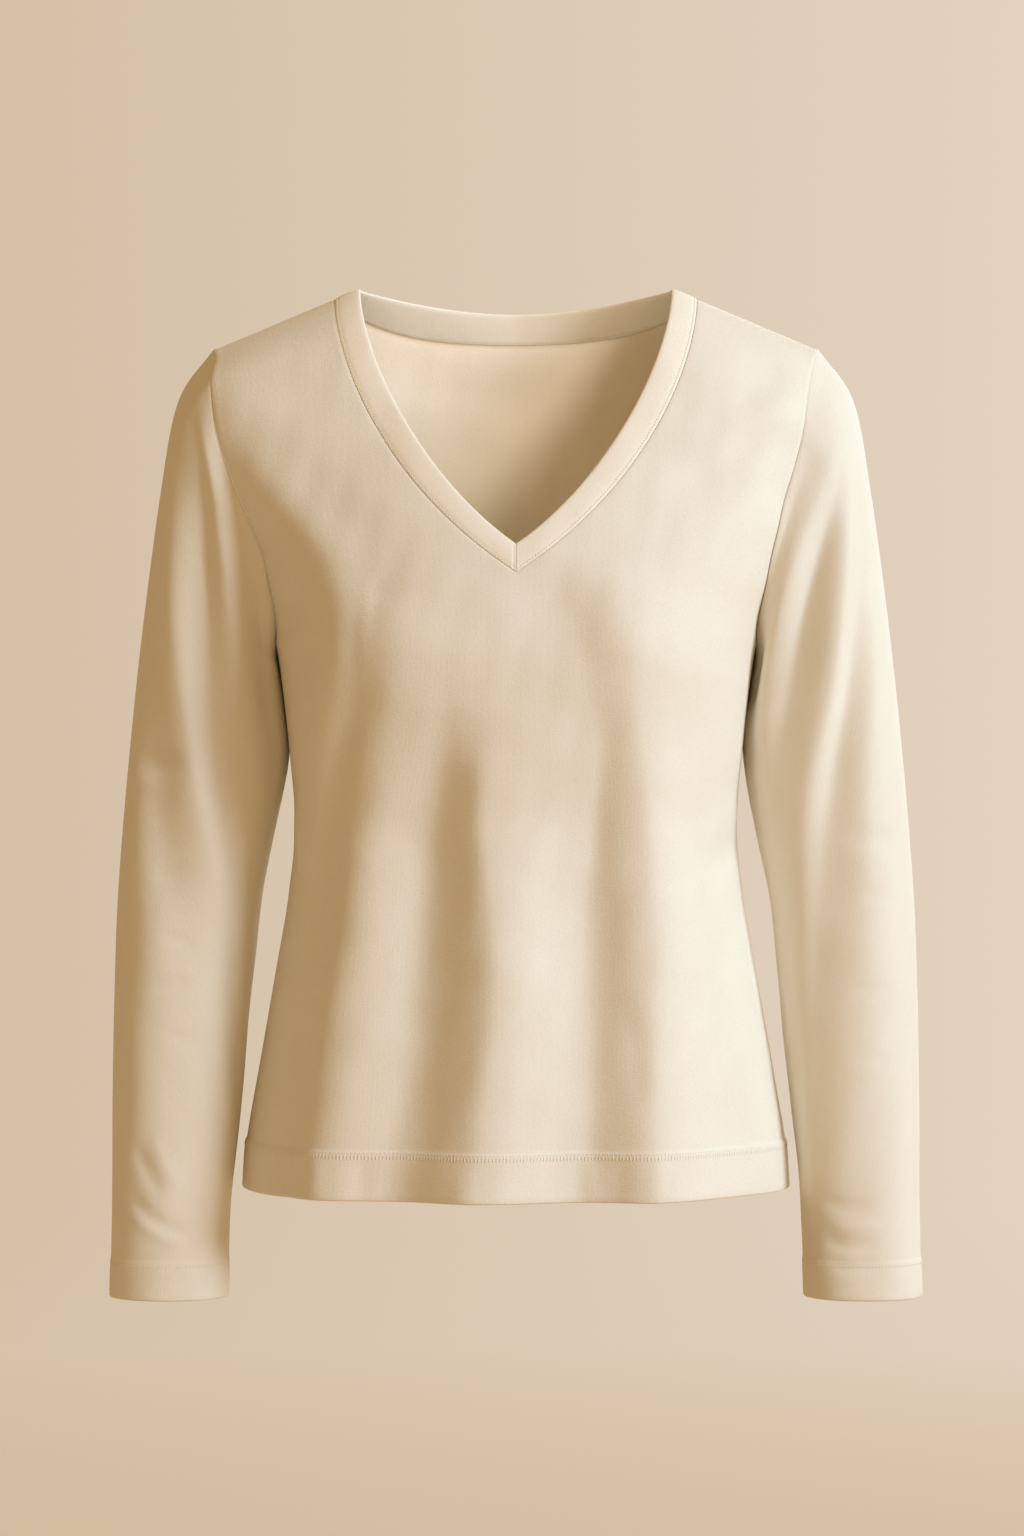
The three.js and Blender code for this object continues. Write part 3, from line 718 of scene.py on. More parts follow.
# more columns close to the side seam and the armhole
for gap in CLOSE[::-1]:
    last, before = (xs[:, -1], zs[:, -1]), (xs[:, -2], zs[:, -2])
    share = np.clip(gap / np.linalg.norm(on_body("back", *last) - on_body("back", *before), axis=1), 0, 0.8)
    new_z = mix(last[1], before[1], share)
    new_x = half_width(new_z) * np.sin(mix(turn_at(*last), turn_at(*before), share)) ** (2 / ROUNDNESS)
    xs = np.insert(xs, xs.shape[1] - 1, new_x, axis=1)
    zs = np.insert(zs, zs.shape[1] - 1, new_z, axis=1)
points, quads, index, x, z = assemble("back", xs, zs, len(xs) - 1)
points = shaped("back", points, quads, x, z, BACK_LINES, BACK_CREASES, 23)
neck_shares = 1 - np.linspace(0, 1, NECK_COLUMN + 1)
back_edges = open_edges(points, quads, index, np.s_[-1, : NECK_COLUMN + 1], neck_shares)
near_side = distance_from(points, index, np.s_[:, -1:], np.s_[:, -40:])
near_top = distance_from(points, index, np.s_[-1:], np.s_[-12:])
share_of = on_points(index, np.interp(zs[:, -1:], hole_z, hole_shares) * (zs[:, -1:] > UNDERARM_Z))
points = finish_edges(points, quads, near_side, np.full(len(points), FAR), near_top, z, share_of)
uv = np.stack([round_length("back", x, z), z], -1)
points, quads, uv = add_body_hem(points, quads, index, uv, "back")
back_piece = make_cloth("back_panel", points, quads, uv)
back_piece.data.materials.append(body_jersey)
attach(back_piece, "root")
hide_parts("back")
back_points, back_index = points, index


# ---------------------------------------------------------------- the sleeves
# Each sleeve is one piece of jersey, sewn into a tube along the underarm and set into the armhole.
# It hangs nearly straight, a little bent at the elbow, and its cuff is turned up 24 mm inside and sewn.

CUFF_DEPTH = 24
CUFF_ROWS = 9
CUFF_ROUNDNESS = 2.1
# Rings of the wearer's left sleeve from the armhole to the fold of the cuff: outer x and z, inner x and z,
# the middle's y, reach forward and back
SLEEVE = np.array([
    (195, -39.9, 153.3, -228, 0, 46, 50), (216.5, -72, 152.2, -243, 0, 49, 52),
    (227.5, -130, 148.9, -260, 1, 51, 52), (239, -215, 145.4, -288, 2, 50, 50),
    (248, -300, 148.9, -322, 1, 48, 48), (254.5, -385, 161.5, -385, -3, 46, 45),
    (256.4, -450, 168.5, -450, -9, 43, 42), (256.8, -520, 174.6, -520, -17, 38, 38),
    (256.4, -586, 181, -586, -25, 33, 33), (256.9, -641, 182.4, -641, -32, 29, 29),
], float)
SLEEVE_PLACES = np.linspace(0, 1, len(SLEEVE))
SLEEVE_LONG = 600
CUFF_START = 1 - CUFF_DEPTH / ((SLEEVE[-2, 1] - SLEEVE[-1, 1]) * (len(SLEEVE) - 1))
PER_DEGREE = 0.8  # mm of cloth to a degree round the sleeve
# Folds and creases of each sleeve: the path in degrees round, from the outer line towards the front, and
# share of the length, then its width in mm, and how far it stands out
SLEEVE_CREASES = {
    "left": [
        # the narrow hollow beside the underarm, and the cloth that fills out behind it
        ([(152, 0.02), (156, 0.1), (158, 0.2), (160, 0.32)], 7, -3.0),
        ([(200, 0.02), (202, 0.14), (202, 0.3)], 9, 1.5),
        ([(92, 0.512), (71, 0.507), (42, 0.515)], 6, -1.2),
        ([(86, 0.563), (68, 0.56), (43, 0.567)], 3.5, -0.6),
        ([(96, 0.655), (78, 0.662), (53, 0.658)], 3.5, -0.6),
        ([(99, 0.733), (80, 0.728), (58, 0.735)], 3.5, -0.5),
        ([(136, 0.872), (106, 0.883), (80, 0.878)], 5, -1.0),
        ([(137, 0.922), (104, 0.93), (73, 0.922)], 5, -1.2),
        ([(131, 0.902), (102, 0.908), (72, 0.9)], 5, 0.9),
        ([(130, 0.953), (102, 0.958), (73, 0.95)], 5, -1.0),
        ([(206, 0.18), (232, 0.27), (262, 0.38), (286, 0.5)], 12, 3.2),
        ([(214, 0.3), (240, 0.4), (270, 0.5), (300, 0.62)], 11, -3.6),
        ([(330, 0.16), (306, 0.26), (292, 0.38), (284, 0.5)], 12, -2.4),
        ([(228, 0.52), (258, 0.57), (290, 0.6)], 10, 1.8),
        ([(300, 0.68), (268, 0.69), (236, 0.68)], 5, -0.8),
        ([(250, 0.88), (276, 0.9), (306, 0.89)], 5, -1.2),
    ],
    "right": [
        ([(200, 0.02), (202, 0.14), (202, 0.3)], 9, 1.5),
        ([(24, 0.434), (51, 0.44), (72, 0.438), (86, 0.427)], 6, -1.5),
        ([(10, 0.453), (52, 0.463), (74, 0.463)], 6, 1.1),
        ([(118, 0.523), (133, 0.63), (151, 0.733), (176, 0.827)], 10, -1.8),
        ([(61, 0.545), (78, 0.538), (92, 0.535)], 3.5, -0.6),
        ([(70, 0.6), (86, 0.605), (102, 0.612)], 3.5, -0.6),
        ([(67, 0.662), (85, 0.655), (100, 0.65)], 3.5, -0.6),
        ([(78, 0.707), (94, 0.71), (114, 0.715)], 3.5, -0.5),
        ([(54, 0.81), (71, 0.845), (88, 0.875)], 5, -1.0),
        ([(72, 0.802), (86, 0.838), (104, 0.867)], 5, 0.8),
        ([(45, 0.863), (74, 0.893), (94, 0.907), (120, 0.913)], 5, -1.1),
        ([(48, 0.885), (78, 0.912), (112, 0.93)], 5, 0.7),
        ([(204, 0.2), (228, 0.3), (258, 0.41), (288, 0.54)], 12, 3.2),
        ([(212, 0.34), (238, 0.43), (266, 0.54), (296, 0.66)], 11, -3.6),
        ([(334, 0.14), (310, 0.25), (294, 0.36), (288, 0.47)], 12, -2.4),
        ([(232, 0.55), (262, 0.6), (294, 0.62)], 10, 1.8),
        ([(304, 0.72), (272, 0.73), (240, 0.72)], 5, -0.8),
        ([(246, 0.86), (274, 0.88), (304, 0.88)], 5, -1.2),
    ],
}
# The long folds down the front of each sleeve, from the underarm outwards, given as the hanging folds are.
# Both sleeves have the same inner line, given here without how far it stands out, and the same outer line.
SLEEVE_INNER_LINE = ((-40, -134, -189, -228, -288, -322, -385, -450, -520, -641),
                     (188, 161, 157, 153, 147, 150, 161, 168, 175, 182))
SLEEVE_OUTER_LINE = ((-40, -72, -130, -215, -300, -385, -450, -641),
                     (200, 217, 228, 239, 248, 254, 256, 257), (0,) * 8)
SLEEVE_LINES = {
    "left": [
        (*SLEEVE_INNER_LINE, (0, 0, 0, -1, -3, -3.4, -3, -1.5, 0, 0)),
        ((-96, -126, -156, -186, -216), (190, 180, 169, 160, 154), (0, -1.0, -1.4, -0.8, 0)),
        ((-96, -130, -164, -198, -232, -264, -302), (203, 192, 179, 168, 160, 156, 157),
         (0, 0.8, 1.9, 2.4, 1.6, 0.4, 0)),
        ((-112, -140, -168, -210, -245, -283, -327, -365), (206, 200, 192, 181, 174, 168, 166, 167),
         (0, -1.2, -4.8, -7.4, -7, -4.4, -1.2, 0)),
        ((-112, -140, -168, -213, -258, -302, -346, -397), (211, 209, 207, 203, 198, 188, 181, 179),
         (0, 1, 3.6, 5.6, 4.6, 3, 1.4, 0)),
        ((-150, -185, -226, -264, -308, -359, -403, -454, -504, -555, -599),
         (217, 217, 214, 209, 201, 195, 191, 190, 189, 187, 186),
         (0, -0.6, -2.4, -3.4, -3.6, -3.0, -2.2, -1.6, -1, -0.4, 0)),
        ((-150, -188, -251, -302, -353, -403, -454, -504, -555, -599),
         (224, 227, 227, 223, 222, 223, 221, 216, 210, 206), (0, 0.6, 2.8, 3.8, 3.4, 2.6, 2, 1.4, 0.6, 0)),
        SLEEVE_OUTER_LINE,
    ],
    "right": [
        (*SLEEVE_INNER_LINE, (0,) * 10),
        ((-92, -125, -160, -190, -226, -262, -300, -345), (188, 179, 170, 164, 159, 155, 153, 156),
         (0, -0.6, -2.0, -3.2, -4.2, -4.0, -2.0, 0)),
        ((-92, -125, -160, -190, -226, -262, -300, -359), (197, 191, 185, 182, 178, 173, 168, 164),
         (0, 0.1, 0.6, 1.0, 1.0, 0.8, 0.4, 0)),
        ((-74, -100, -130, -175, -226, -270, -315, -359, -410),
         (208, 203, 199, 196, 195, 192, 187, 180, 171), (0, -1.4, -3.8, -5.8, -6.2, -5.8, -4.8, -2.4, 0)),
        ((-74, -125, -163, -201, -239, -277, -321, -359, -410),
         (214, 218, 218, 217, 213, 208, 202, 194, 184), (0, 2.2, 3, 3.4, 3.4, 3.2, 2.8, 1.6, 0)),
        ((-250, -280, -310, -340, -370, -400, -435), (233, 230, 227, 224, 219, 213, 206),
         (0, -0.8, -1.8, -2.2, -2, -1, 0)),
        ((-250, -290, -340, -390, -440, -520, -600), (243, 242, 241, 240, 239, 238, 236),
         (0, 0.8, 1.6, 1.6, 1.4, 1.2, 0.6)),
        SLEEVE_OUTER_LINE,
    ],
}
AROUND = 128
HOLE_GAP = 0.12


def sleeve_ring(share, turn):
    """One ring of a sleeve on the wearer's left, before it is drawn to the armhole."""
    outer_x, outer_z, inner_x, inner_z, middle, front, back = (
        along(SLEEVE_PLACES, column, share) for column in SLEEVE.T
    )
    reach = np.array([outer_x - inner_x, 0, outer_z - inner_z]) / 2
    centre = np.array([(outer_x + inner_x) / 2, middle, (outer_z + inner_z) / 2])
    rounded = lambda value: np.sign(value) * np.abs(value) ** (2 / CUFF_ROUNDNESS)
    sin = rounded(np.sin(turn))
    ring = centre + reach * rounded(np.cos(turn))[:, None]
    ring[:, 1] -= np.where(sin > 0, front, back) * sin
    return ring


def armhole_loop(side, turn):
    """The armhole's edge, down the front and up the back, and the way the cloth faces there."""
    half = 0 if side == "left" else 1
    flip = np.array([1 if side == "left" else -1, 1, 1])
    forward = turn <= np.pi
    loop, out = np.zeros((AROUND, 3)), np.zeros((AROUND, 3))
    rows = len(body_heights()) - 1
    back_share = np.interp(back_points[back_index[half][rows:, -1], 2], hole_z, hole_shares)
    for edges, shares, chosen, wanted in (
        (front_edges, front_hole_share[rows:], forward, 1 - turn / np.pi),
        (back_edges, back_share, ~forward, turn / np.pi - 1),
    ):
        spots, normals = edges["hole"][half]
        order = np.argsort(shares)
        for k in range(3):
            loop[chosen, k] = np.interp(wanted[chosen], shares[order], spots[rows:, k][order])
            out[chosen, k] = np.interp(wanted[chosen], shares[order], normals[rows:, k][order])
    loop, out = loop * flip, out * flip
    for k in range(3):
        padded = np.concatenate([out[-3:, k], out[:, k], out[:3, k]])
        out[:, k] = np.convolve(padded, np.ones(7) / 7, "valid")
    return loop, unit(out)


def sleeve_rings(side, turn):
    """Every ring of the sleeve from the armhole to the cuff's fold, drawn to the armhole at its top."""
    loop, out = armhole_loop(side, turn)
    beyond = unit(np.cross(out, np.roll(loop, -1, 0) - np.roll(loop, 1, 0)))
    seat = loop + beyond * HOLE_GAP - sleeve_ring(0.0, turn)
    # rings lie close together at the armhole and at the upper edge of the cuff's second layer
    shares = np.concatenate([
        np.array([0, *CLOSE]) / SLEEVE_LONG,
        np.linspace(CLOSE[-1] / SLEEVE_LONG, CUFF_START - 0.005, 190)[1:],
        [CUFF_START - 0.003, CUFF_START - 0.001],
        CUFF_START + np.arange(CUFF_ROWS) / (CUFF_ROWS - 1) * (1 - FOLD / SLEEVE_LONG - CUFF_START),
    ])
    rings = []
    for share in shares:
        seated = 1.0 if share == 0 else float(ease(1 - share / 0.32)) ** 2
        rings.append(sleeve_ring(share, turn) + seat * seated)
    return np.array(rings), shares, out


def build_sleeve(side):
    """Points, faces and coordinates of one sleeve, and the grid of its outer layer."""
    turn = np.arange(AROUND) / AROUND * 2 * np.pi
    rings, shares, loop_out = sleeve_rings(side, turn)
    grid = np.arange(len(shares) * AROUND).reshape(len(shares), AROUND)
    nxt = np.roll(grid, -1, 1)
    quads = np.stack([grid[:-1], nxt[:-1], nxt[1:], grid[1:]], -1).reshape(-1, 4)
    points = rings.reshape(-1, 3)
    degrees = np.tile(np.degrees(turn), len(shares))
    share = np.repeat(shares, AROUND)
    u, v = degrees * PER_DEGREE, share * SLEEVE_LONG
    table = [
        ([(place * PER_DEGREE, down * SLEEVE_LONG) for place, down in path], width, out)
        for path, width, out in SLEEVE_CREASES[side]
    ]
    normals = face_normals(points, quads)
    out = creases(table, u, v, 360 * PER_DEGREE)
    out += hanging_folds(SLEEVE_LINES[side], points[:, 0], points[:, 2]) * ease(-normals[:, 1] * 1.6)
    off_outer_line = np.clip(np.sin(np.radians(degrees) / 2) * 3, 0, 1)
    out += ripples(u, v, 5 if side == "left" else 7, ((70, 0.4), (38, 0.2))) * ease(v / 60) * off_outer_line
    points = points + normals * (out * ease(v / 24))[:, None]
    # the cuff's second layer presses through, most at its edge. A whole share is 495 mm long here, so below
    # is the distance from that edge stretched by about an eighth.
    below = (share - CUFF_START) * 560
    lift = 0.6 * ease((below + 0.4) / 1.6) + 0.3 * hump(below, 1.3) - 0.3 * hump(below - 2.6, 1.1)
    # the sleeve's underarm seam, and the roll into the armhole seam
    lift -= 0.45 * hump(np.abs(degrees - 180) * PER_DEGREE, 1.6)
    from_edge = np.linalg.norm(points[grid] - points[grid[:1]], axis=-1)
    from_edge[8:] = FAR
    points = points + face_normals(points, quads) * (lift - roll(from_edge.ravel()))[:, None]
    away = np.linalg.norm(rings - rings[:1], axis=-1)
    sunk = pinch(np.abs(1 - turn / np.pi))[None] * hump(away, 9)
    points = points - (loop_out[None] * sunk[..., None]).reshape(-1, 3)
    steps = np.linalg.norm(np.diff(rings, axis=0), axis=-1)
    run = np.concatenate([np.zeros((1, AROUND)), np.cumsum(steps, 0)])
    uv = np.stack([u, -run.ravel()], -1)
    # the turned-up cuff
    axis = rings[-1].mean(0) - rings[-6].mean(0)
    axis /= np.linalg.norm(axis)
    normals = face_normals(points, quads)
    flat_out = unit(normals - (normals @ axis)[:, None] * axis)
    rows = [grid[-1 - k] for k in range(CUFF_ROWS)]
    layer, flat = turned_hem(points, flat_out, rows, uv, axis)
    more = [rows[0]] + [len(points) + i * AROUND + np.arange(AROUND) for i in range(len(layer))]
    extra = [
        np.stack([low, np.roll(low, -1), np.roll(high, -1), high], -1)
        for low, high in zip(more[:-1], more[1:])
    ]
    points = np.concatenate([points, *layer])
    uv = np.concatenate([uv, *flat])
    quads = np.concatenate([quads, *extra])
    if side == "right":
        points = points * np.array([-1, 1, 1])
        quads = quads[:, ::-1]
    return points, quads, uv, grid


sleeve_pieces = {}
sleeve_grids = {}
for side in ("left", "right"):
    points, quads, uv, grid = build_sleeve(side)
    piece = make_cloth("sleeve_" + side + "_cloth", points, quads, uv)
    # faces that close the ring read their coordinates past the end of the turn
    whole_turn = 360 * PER_DEGREE / 1000
    corners = piece.data.uv_layers["cloth"].data
    for face in piece.data.polygons:
        us = [corners[i].uv[0] for i in face.loop_indices]
        if max(us) - min(us) > whole_turn / 2:
            for i in face.loop_indices:
                if corners[i].uv[0] < whole_turn / 2:
                    corners[i].uv[0] += whole_turn
    piece.data.materials.append(body_jersey)
    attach(piece, "root")
    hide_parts("sleeve_" + side)
    sleeve_pieces[side] = piece
    sleeve_grids[side] = (points, grid)


# ---------------------------------------------------------------- the neckband
# The neckband is a strip of the same jersey, folded double, about 18 mm wide when sewn on.
# It runs from the point of the v up one side, round the back and down the other. Its ends meet in a mitre.

NECKBAND_WIDE = 18
# The free edge of the band, given as the seam of the neck is
NECK_EDGE = {
    "front": [(99.8, 0), (95, -60), (50, -134), (0, -169)],
    "back": [(99.8, 0), (85, 0), (45, -9), (0, -9)],
}
# The band's outline, from its face round its free edge to its inside: share of its width from the seam, and
# height over the face of the panels
BAND_OUTLINE = [
    (0.0, -1.3), (0.002, -0.55), (0.012, -0.1), (0.04, 0.2), (0.075, 0.3), (0.094, 0.24), (0.114, 0.24),
    (0.135, 0.36), (0.17, 0.52), (0.3, 0.66), (0.5, 0.72), (0.7, 0.66), (0.86, 0.52), (0.94, 0.3),
    (0.98, -0.1), (1.0, -0.7), (0.99, -1.3), (0.955, -1.72), (0.86, -1.95), (0.5, -2.1), (0.2, -2.1),
    (0.1, -2.08), (0.03, -2.1), (0.0, -1.9),
]


def band_stations():
    """Seam point, outward direction and free edge at each station, from the point of the v and back to it."""
    stations = []

    def add(side, edges, h, order):
        spots, normals = edges["neck"][h]
        for i in order:
            x, z = curve_at(NECK_EDGE[side], edges["neck_share"][i])
            free = plain_body(side, 1 - 2 * h, turn_at(x, z), z)
            free[1] += 0.15 if side == "front" else -0.15
            stations.append((spots[i], normals[i], free))

    def add_shoulder(h):
        (front_spots, front_out), (back_spots, back_out) = front_edges["neck"][h], back_edges["neck"][h]
        out = front_out[-1] + back_out[-1]
        free = np.array([(1 - 2 * h) * NECK_EDGE["front"][0][0], 0, 0])
        stations.append(((front_spots[-1] + back_spots[-1]) / 2, out / np.linalg.norm(out), free))

    front_last, back_last = len(front_edges["neck_share"]) - 1, NECK_COLUMN
    add("front", front_edges, 0, range(front_last))
    add_shoulder(0)
    add("back", back_edges, 0, range(back_last - 1, -1, -1))
    add("back", back_edges, 1, range(1, back_last))
    add_shoulder(1)
    add("front", front_edges, 1, range(front_last - 1, -1, -1))
    return [np.array(column) for column in zip(*stations)]


def smooth_line(values, width):
    """Each point becomes the mean of its neighbours, as many as width says."""
    kernel = np.ones(width) / width
    first, last = (np.repeat(end, width // 2, 0) for end in (values[:1], values[-1:]))
    padded = np.concatenate([first, values, last])
    return np.stack([np.convolve(padded[:, k], kernel, "valid") for k in range(values.shape[1])], -1)


def read_line(places, run, values):
    """Points of a line, or directions along it, at the wanted distances."""
    return np.stack([np.interp(places, run, values[:, k]) for k in range(3)], -1)


seam, seam_out, free = band_stations()
run = measured(seam)
# even steps along the seam, with a few close ones at the mitre
wanted = spread(run[-1], 290, (0.3, 0.7, 1.1, 1.5, 1.9, 2.3, 2.8, 3.8))
seam_out = unit(read_line(wanted, run, smooth_line(seam_out, 5)))
seam = read_line(wanted, run, seam)
free = smooth_line(read_line(wanted, run, free), 3)
ahead = np.gradient(seam, wanted, axis=0)
ahead[0] = ahead[-1] = (1, 0, 0)
band_start = seam + unit(np.cross(seam_out, unit(ahead))) * 0.14
across = free - band_start
band_up = unit(np.cross(unit(ahead), across))
ripple = ripples(wanted, np.zeros_like(wanted), 31, ((60, 0.25), (22, 0.1)))
# the band dips at the mitre, and once more about 2 mm from it on the wearer's right
from_mitre = np.minimum(wanted, wanted[-1] - wanted)
dip = 0.22 * hump(from_mitre, 0.5) + 0.3 * hump(from_mitre - 2.1, 0.45) * (wanted > wanted[-1] / 2)
rings = []
for share, height in BAND_OUTLINE:
    crown = math.sin(math.pi * share) ** 2
    lift = height + ripple * crown * 0.6 - dip * (1 if height > -1 else 0.2)
    rings.append(band_start + across * share + band_up * lift[:, None])
rings = np.array(rings)
# each end keeps to its own side of the mitre
for end, step, sign in ((0, 1, 1), (-1, -1, -1)):
    for k in range(5):
        at = end + step * k
        rings[:, at, 0] = sign * np.maximum(sign * rings[:, at, 0], 0.1 + wanted[k] * 0.55)
    rings[:, end, 0] = sign * 0.1
grid = np.arange(rings.shape[0] * rings.shape[1]).reshape(rings.shape[:2])
nxt = np.roll(grid, -1, 0)
quads = np.stack([grid[:, :-1], grid[:, 1:], nxt[:, 1:], nxt[:, :-1]], -1).reshape(-1, 4)
round_it = measured(np.array([(share * NECKBAND_WIDE, height) for share, height in BAND_OUTLINE]))
uv = np.stack([np.tile(wanted, len(round_it)), np.repeat(round_it, len(wanted))], -1)
ends = [grid[::-1, 0].tolist(), grid[:, -1].tolist()]
neckband = make_mesh("neckband_strip", rings.reshape(-1, 3), quads.tolist() + ends, uv)
neckband.data.materials.append(body_jersey)
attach(neckband, "root")
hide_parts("neckband")


# ---------------------------------------------------------------- the stitches
# Cotton thread in the same cream: a row of small stitches on the neckband beside its seam, and the stitches
# that hold the turned-up hem and cuffs. They are sewn once the pieces are joined, and lie pressed into them.

GROOVE = 0.104  # share of the neckband's width at which its row of stitches lies
# A stitch from end to end: share of its length, height over the cloth, and share of the thread's thickness
STITCH = [(0, -0.3, 0.5), (0.16, 0.08, 0.95), (0.5, 0.17, 1.0), (0.84, 0.08, 0.95), (1, -0.3, 0.5)]


def thread_material():
    material, surface, spot = new_material("cream_thread", "Object")
    strands = spot.node("ShaderNodeTexNoise", {"Vector": spot, "Scale": 2600.0, "Detail": 2.0})
    tone = (strands - 0.5) * 0.9 + 0.5
    tone.colour((0.80, 0.74, 0.64), (0.92, 0.88, 0.80)).into(surface.inputs["Base Color"])
    ((strands - 0.5) * 0.2 + 0.62).into(surface.inputs["Roughness"])
    surface.inputs["Sheen Weight"].default_value = 0.15
    return material


thread = thread_material()


def stitches(name, starts, ends, outs, thick, sink):
    """Each stitch is a short thread that comes up out of the cloth and goes down into it again."""
    points, faces = [], []
    for a, b, out in zip(starts, ends, outs):
        ahead = (b - a) / np.linalg.norm(b - a)
        aside = np.cross(ahead, out)
        aside /= np.linalg.norm(aside)
        first = len(points)
        for share, lift, size in STITCH:
            middle = mix(a, b, share) + out * (lift - sink)
            for angle in (math.pi / 4 + turn * math.pi / 2 for turn in range(4)):
                away = aside * math.cos(angle) + out * math.sin(angle) * 0.7
                points.append(middle + away * thick / 2 * 1.25 * size)
        for ring in range(first, len(points) - 4, 4):
            for i, j in ((0, 1), (1, 2), (2, 3), (3, 0)):
                faces.append((ring + i, ring + i + 4, ring + j + 4, ring + j))
        faces.append((first, first + 1, first + 2, first + 3))
        faces.append(tuple(len(points) - k for k in (1, 2, 3, 4)))
    piece = make_mesh(name, points, faces)
    piece.data.materials.append(thread)
    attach(piece, "root")
    return piece


def running(line, outs, pitch, ends, fill=0.72):
    """Starts, ends and outward directions of a running stitch. fill is the stitch's share of its pitch."""
    run = measured(line)
    count = int((run[-1] - 2 * ends) / pitch)
    places = ends + (np.arange(count) + 0.5) * (run[-1] - 2 * ends) / count
    half = pitch * fill / 2
    starts, finish = read_line(places - half, run, line), read_line(places + half, run, line)
    return starts, finish, unit(read_line(places, run, outs))


# the neckband's row, along the shallow groove beside its seam
groove = band_start + across * GROOVE + band_up * (0.24 + ripple * 0.05)[:, None]
face_row = running(groove, band_up, 2.2, 3.0, fill=0.62)
band_row = stitches("neckband_stitches", *face_row, thick=0.5, sink=-0.06)
# the same row as it shows on the inside of the back
behind = band_start + across * GROOVE + band_up * -2.09
inner_row = stitches("neckband_inside_stitches", *running(behind, -band_up, 2.3, 3.0), thick=0.36, sink=0.0)


def ticks(name, line, outs, up, pitch, tall, lean=0.35):
    """Small upright stitches side by side along a line, slightly slanted, as a cover seam shows outside."""
    run = measured(line)
    count = int(run[-1] / pitch)
    places = (np.arange(count) + 0.5) * run[-1] / count
    spots, out, top = (read_line(places, run, values) for values in (line, outs, up))
    ahead = unit(read_line(places + 0.3, run, line) - read_line(places - 0.3, run, line))
    chance = np.random.default_rng(3)
    size = tall * chance.uniform(0.8, 1.15, count)[:, None]
    starts = spots - top * size / 2 - ahead * lean / 2
    ends = spots + top * size / 2 + ahead * lean / 2
    return stitches(name, starts, ends, unit(out), thick=0.4, sink=0.06)


# the hem's rows go right round the body: one just under its upper edge, and upright stitches below that
hem_rows = {}
for side, points, index in (("front", front_points, front_index), ("back", back_points, back_index)):
    low, high, top = (points[whole_row(index, row)] for row in (8, 9, 10))
    height = mix(low, high, 0.35)
    flat = np.gradient(height, axis=0) * np.array([1, 1, 0])
    outs = unit(np.cross(flat, (0, 0, 1.0))) * (1 if side == "front" else -1)
    hem_rows[side] = (
        ticks(side + "_hem_stitches", height, outs, unit(high - low), 2.2, 4.0),
        stitches(side + "_hem_row", *running(mix(high, top, 0.8), outs, 2.6, 1.0), thick=0.36, sink=0.04),
    )

cuff_rows = {}
for side in ("left", "right"):
    points, grid = sleeve_grids[side]
    low, high = points[grid[-8]], points[grid[-9]]
    loop = lambda values: np.concatenate([values, values[:1]])
    line = loop(mix(low, high, 0.2))
    up = loop(unit(high - low))
    outs = line - low.mean(0)
    outs = unit(outs - (outs * up).sum(1, keepdims=True) * up)
    cuff_rows[side] = ticks("cuff_" + side + "_stitches", line, outs, up, 2.1, 1.8)


# ---------------------------------------------------------------- floor, light and camera
# A wide pale floor far below the hem, one large cool light from the wearer's front left and another from
# behind, and warm light all round. Each lamp is linked to what it lights: the garment, the floor, the back
# panel or the neckband.

FLOOR_Z = -1.42

scene = bpy.context.scene
blouse = [front_piece, back_piece, *sleeve_pieces.values(), neckband, band_row, inner_row]
blouse += [*hem_rows["front"], *hem_rows["back"], *cuff_rows.values()]
bpy.ops.object.select_all(action="DESELECT")
bpy.ops.mesh.primitive_circle_add(vertices=96, radius=9, fill_type="NGON", location=(0, 0, FLOOR_Z))
floor = bpy.context.active_object
floor.name = "studio_floor"
material, surface, spot = new_material("pale_floor", "Object")
tree = material.node_tree
distance = spot.node("ShaderNodeVectorMath", {0: spot}, output=1, operation="LENGTH")
fading = ((distance - 1.0) / 4.2).between(0.0, 1.0)
surface.inputs["Base Color"].default_value = (0.98, 0.98, 0.98, 1)
surface.inputs["Roughness"].default_value = 0.9
clear = tree.nodes.new("ShaderNodeBsdfTransparent")
blend = tree.nodes.new("ShaderNodeMixShader")
fading.into(blend.inputs[0])
tree.links.new(surface.outputs[0], blend.inputs[1])
tree.links.new(clear.outputs[0], blend.inputs[2])
tree.links.new(blend.outputs[0], tree.nodes["Material Output"].inputs["Surface"])
floor.data.materials.append(material)

# what lights the garment, and the plain backdrop that the camera sees, with light painted on it: lighter on
# the wearer's left, the side the key light comes from
world = bpy.data.worlds.new("studio")
scene.world = world
world.use_nodes = True
tree = world.node_tree
ambient = tree.nodes["Background"]
ambient.inputs["Color"].default_value = (1.0, 0.66, 0.345, 1)
seen = tree.nodes.new("ShaderNodeBackground")
direction = Shade(tree, tree.nodes.new("ShaderNodeTexCoord").outputs["Generated"])
toward_left = direction.node("ShaderNodeSeparateXYZ", {0: direction})
(toward_left * 0.11 + 0.465).into(ambient.inputs["Strength"])
# painted light on the backdrop: lighter towards the key light's side, less so low down
evened_low_down = (toward_left.other(2) * 7.0 + 1.75).between(0.3, 1.0)
painted_light_share = (toward_left * evened_low_down * 2.2 + 0.5).between(0.0, 1.0)
painted_light_share.colour((0.565, 0.462, 0.352), (0.772, 0.695, 0.592)).into(seen.inputs["Color"])
rays = tree.nodes.new("ShaderNodeLightPath")
choose = tree.nodes.new("ShaderNodeMixShader")
tree.links.new(rays.outputs["Is Camera Ray"], choose.inputs[0])
tree.links.new(ambient.outputs[0], choose.inputs[1])
tree.links.new(seen.outputs[0], choose.inputs[2])
tree.links.new(choose.outputs[0], tree.nodes["World Output"].inputs["Surface"])


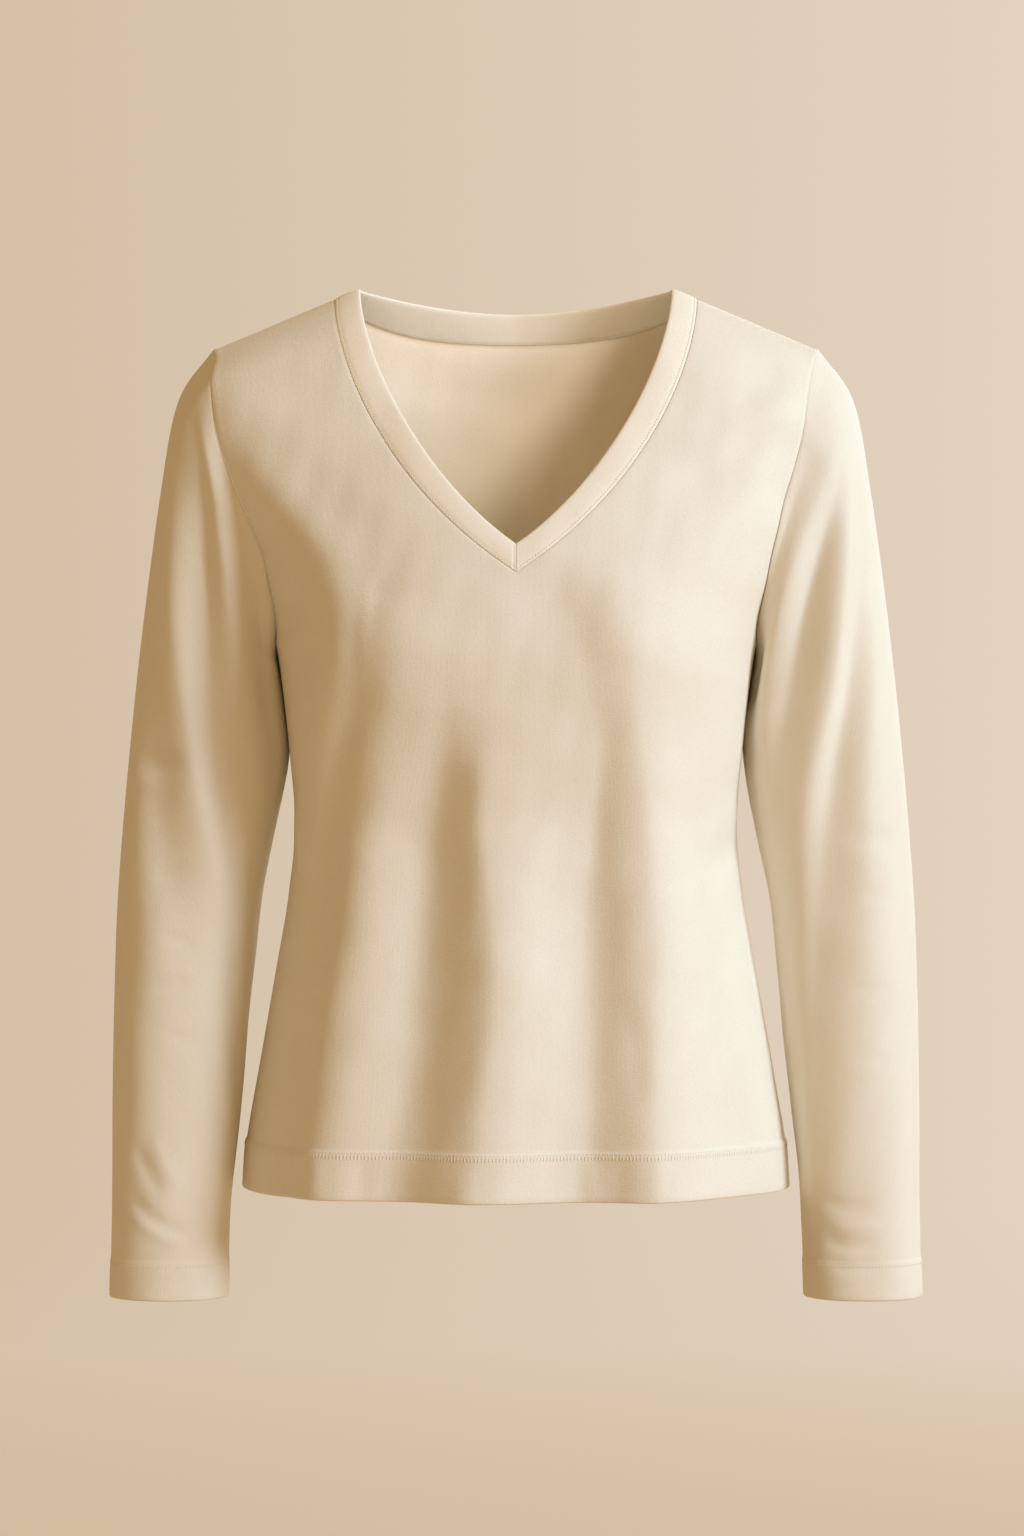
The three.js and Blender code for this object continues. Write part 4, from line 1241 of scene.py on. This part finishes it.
def lit_group(name, pieces):
    group = bpy.data.collections.new(name)
    for piece in pieces:
        group.objects.link(piece)
    return group


def soft_light(name, place, aim, size, power, color, lights_up):
    """A round lamp, itself out of sight, that points at a place and falls on one group only."""
    light = bpy.data.lights.new(name, "AREA")
    light.shape = "DISK"
    light.size = size
    light.energy = power
    light.color = color
    lamp = bpy.data.objects.new(name, light)
    scene.collection.objects.link(lamp)
    lamp.location = place
    ahead = np.array(aim, float) - np.array(place, float)
    ahead /= np.linalg.norm(ahead)
    lamp.rotation_euler = (math.acos(-ahead[2]), 0, math.atan2(-ahead[0], ahead[1]))
    lamp.light_linking.receiver_collection = lights_up
    lamp.visible_camera = False


garment = lit_group("garment", blouse)
floor_only = lit_group("floor_only", [floor])
inside = lit_group("inside_of_the_back", [back_piece])
band_only = lit_group("neckband_only", [neckband])
below_neck = (0, 0, -0.1)
soft_light("key_light", (3.85, -2.6, 1.75), (0, 0, -0.3), 2.1, 228, (0.665, 0.86, 1.0), garment)
# an even light from above, so that the floor doesn't glare
soft_light("floor_light", (0, 0.01, 6), (0, 0, -1.4), 8, 104, (0.95, 0.98, 0.92), floor_only)
# for the inside of the back, which shows through the neck: one soft light, and two as warm as light off cloth
soft_light("inner_light", (1.05, -3.4, -0.1), below_neck, 0.8, 56, (0.88, 0.88, 0.83), inside)
soft_light("inner_fill", (-0.5, -3.2, -0.1), below_neck, 1.6, 11.5, (1.0, 0.55, 0.22), inside)
soft_light("inner_glow", (2.9, -2.6, -0.05), below_neck, 1.4, 26, (1.0, 0.56, 0.24), inside)
soft_light("band_light", (0.2, -2.6, 1.9), below_neck, 1.0, 11, (1.0, 0.93, 0.82), band_only)
# a small one held in the neck opening, for the inside of the neckband behind
inside_band = (0, 0.08, -0.014)
neck_warmth = (1.0, 0.86, 0.68)
soft_light("neck_light", (0, -0.03, -0.035), inside_band, 0.12, 0.024, neck_warmth, band_only)
soft_light("back_light", (1.7, 3.4, 1.2), (0, 0, -0.25), 1.8, 90, (0.80, 0.90, 1.0), garment)

camera_data = bpy.data.cameras.new("camera")
camera = bpy.data.objects.new("camera", camera_data)
scene.collection.objects.link(camera)
camera.location = (-0.0025, -2.6, -0.307)
camera.rotation_euler = (math.pi / 2, 0, 0)
camera_data.lens = 95
camera_data.sensor_fit = "VERTICAL"
camera_data.sensor_height = 36
camera_data.clip_end = 60
scene.camera = camera
scene.view_settings.view_transform = "Standard"
# a gentle print curve for red, green and blue: the middle tones a little warmer than the lights
scene.view_settings.use_curve_mapping = True
print_curve = scene.view_settings.curve_mapping
for curve, middle in zip(print_curve.curves, (
    [(0.30, 0.318), (0.584, 0.630), (0.80, 0.832), (0.93, 0.955)],
    [(0.46, 0.474), (0.80, 0.80), (0.90, 0.925)],
    [(0.34, 0.322), (0.72, 0.712), (0.84, 0.866)],
)):
    for spot in middle:
        curve.points.new(*spot)
print_curve.update()
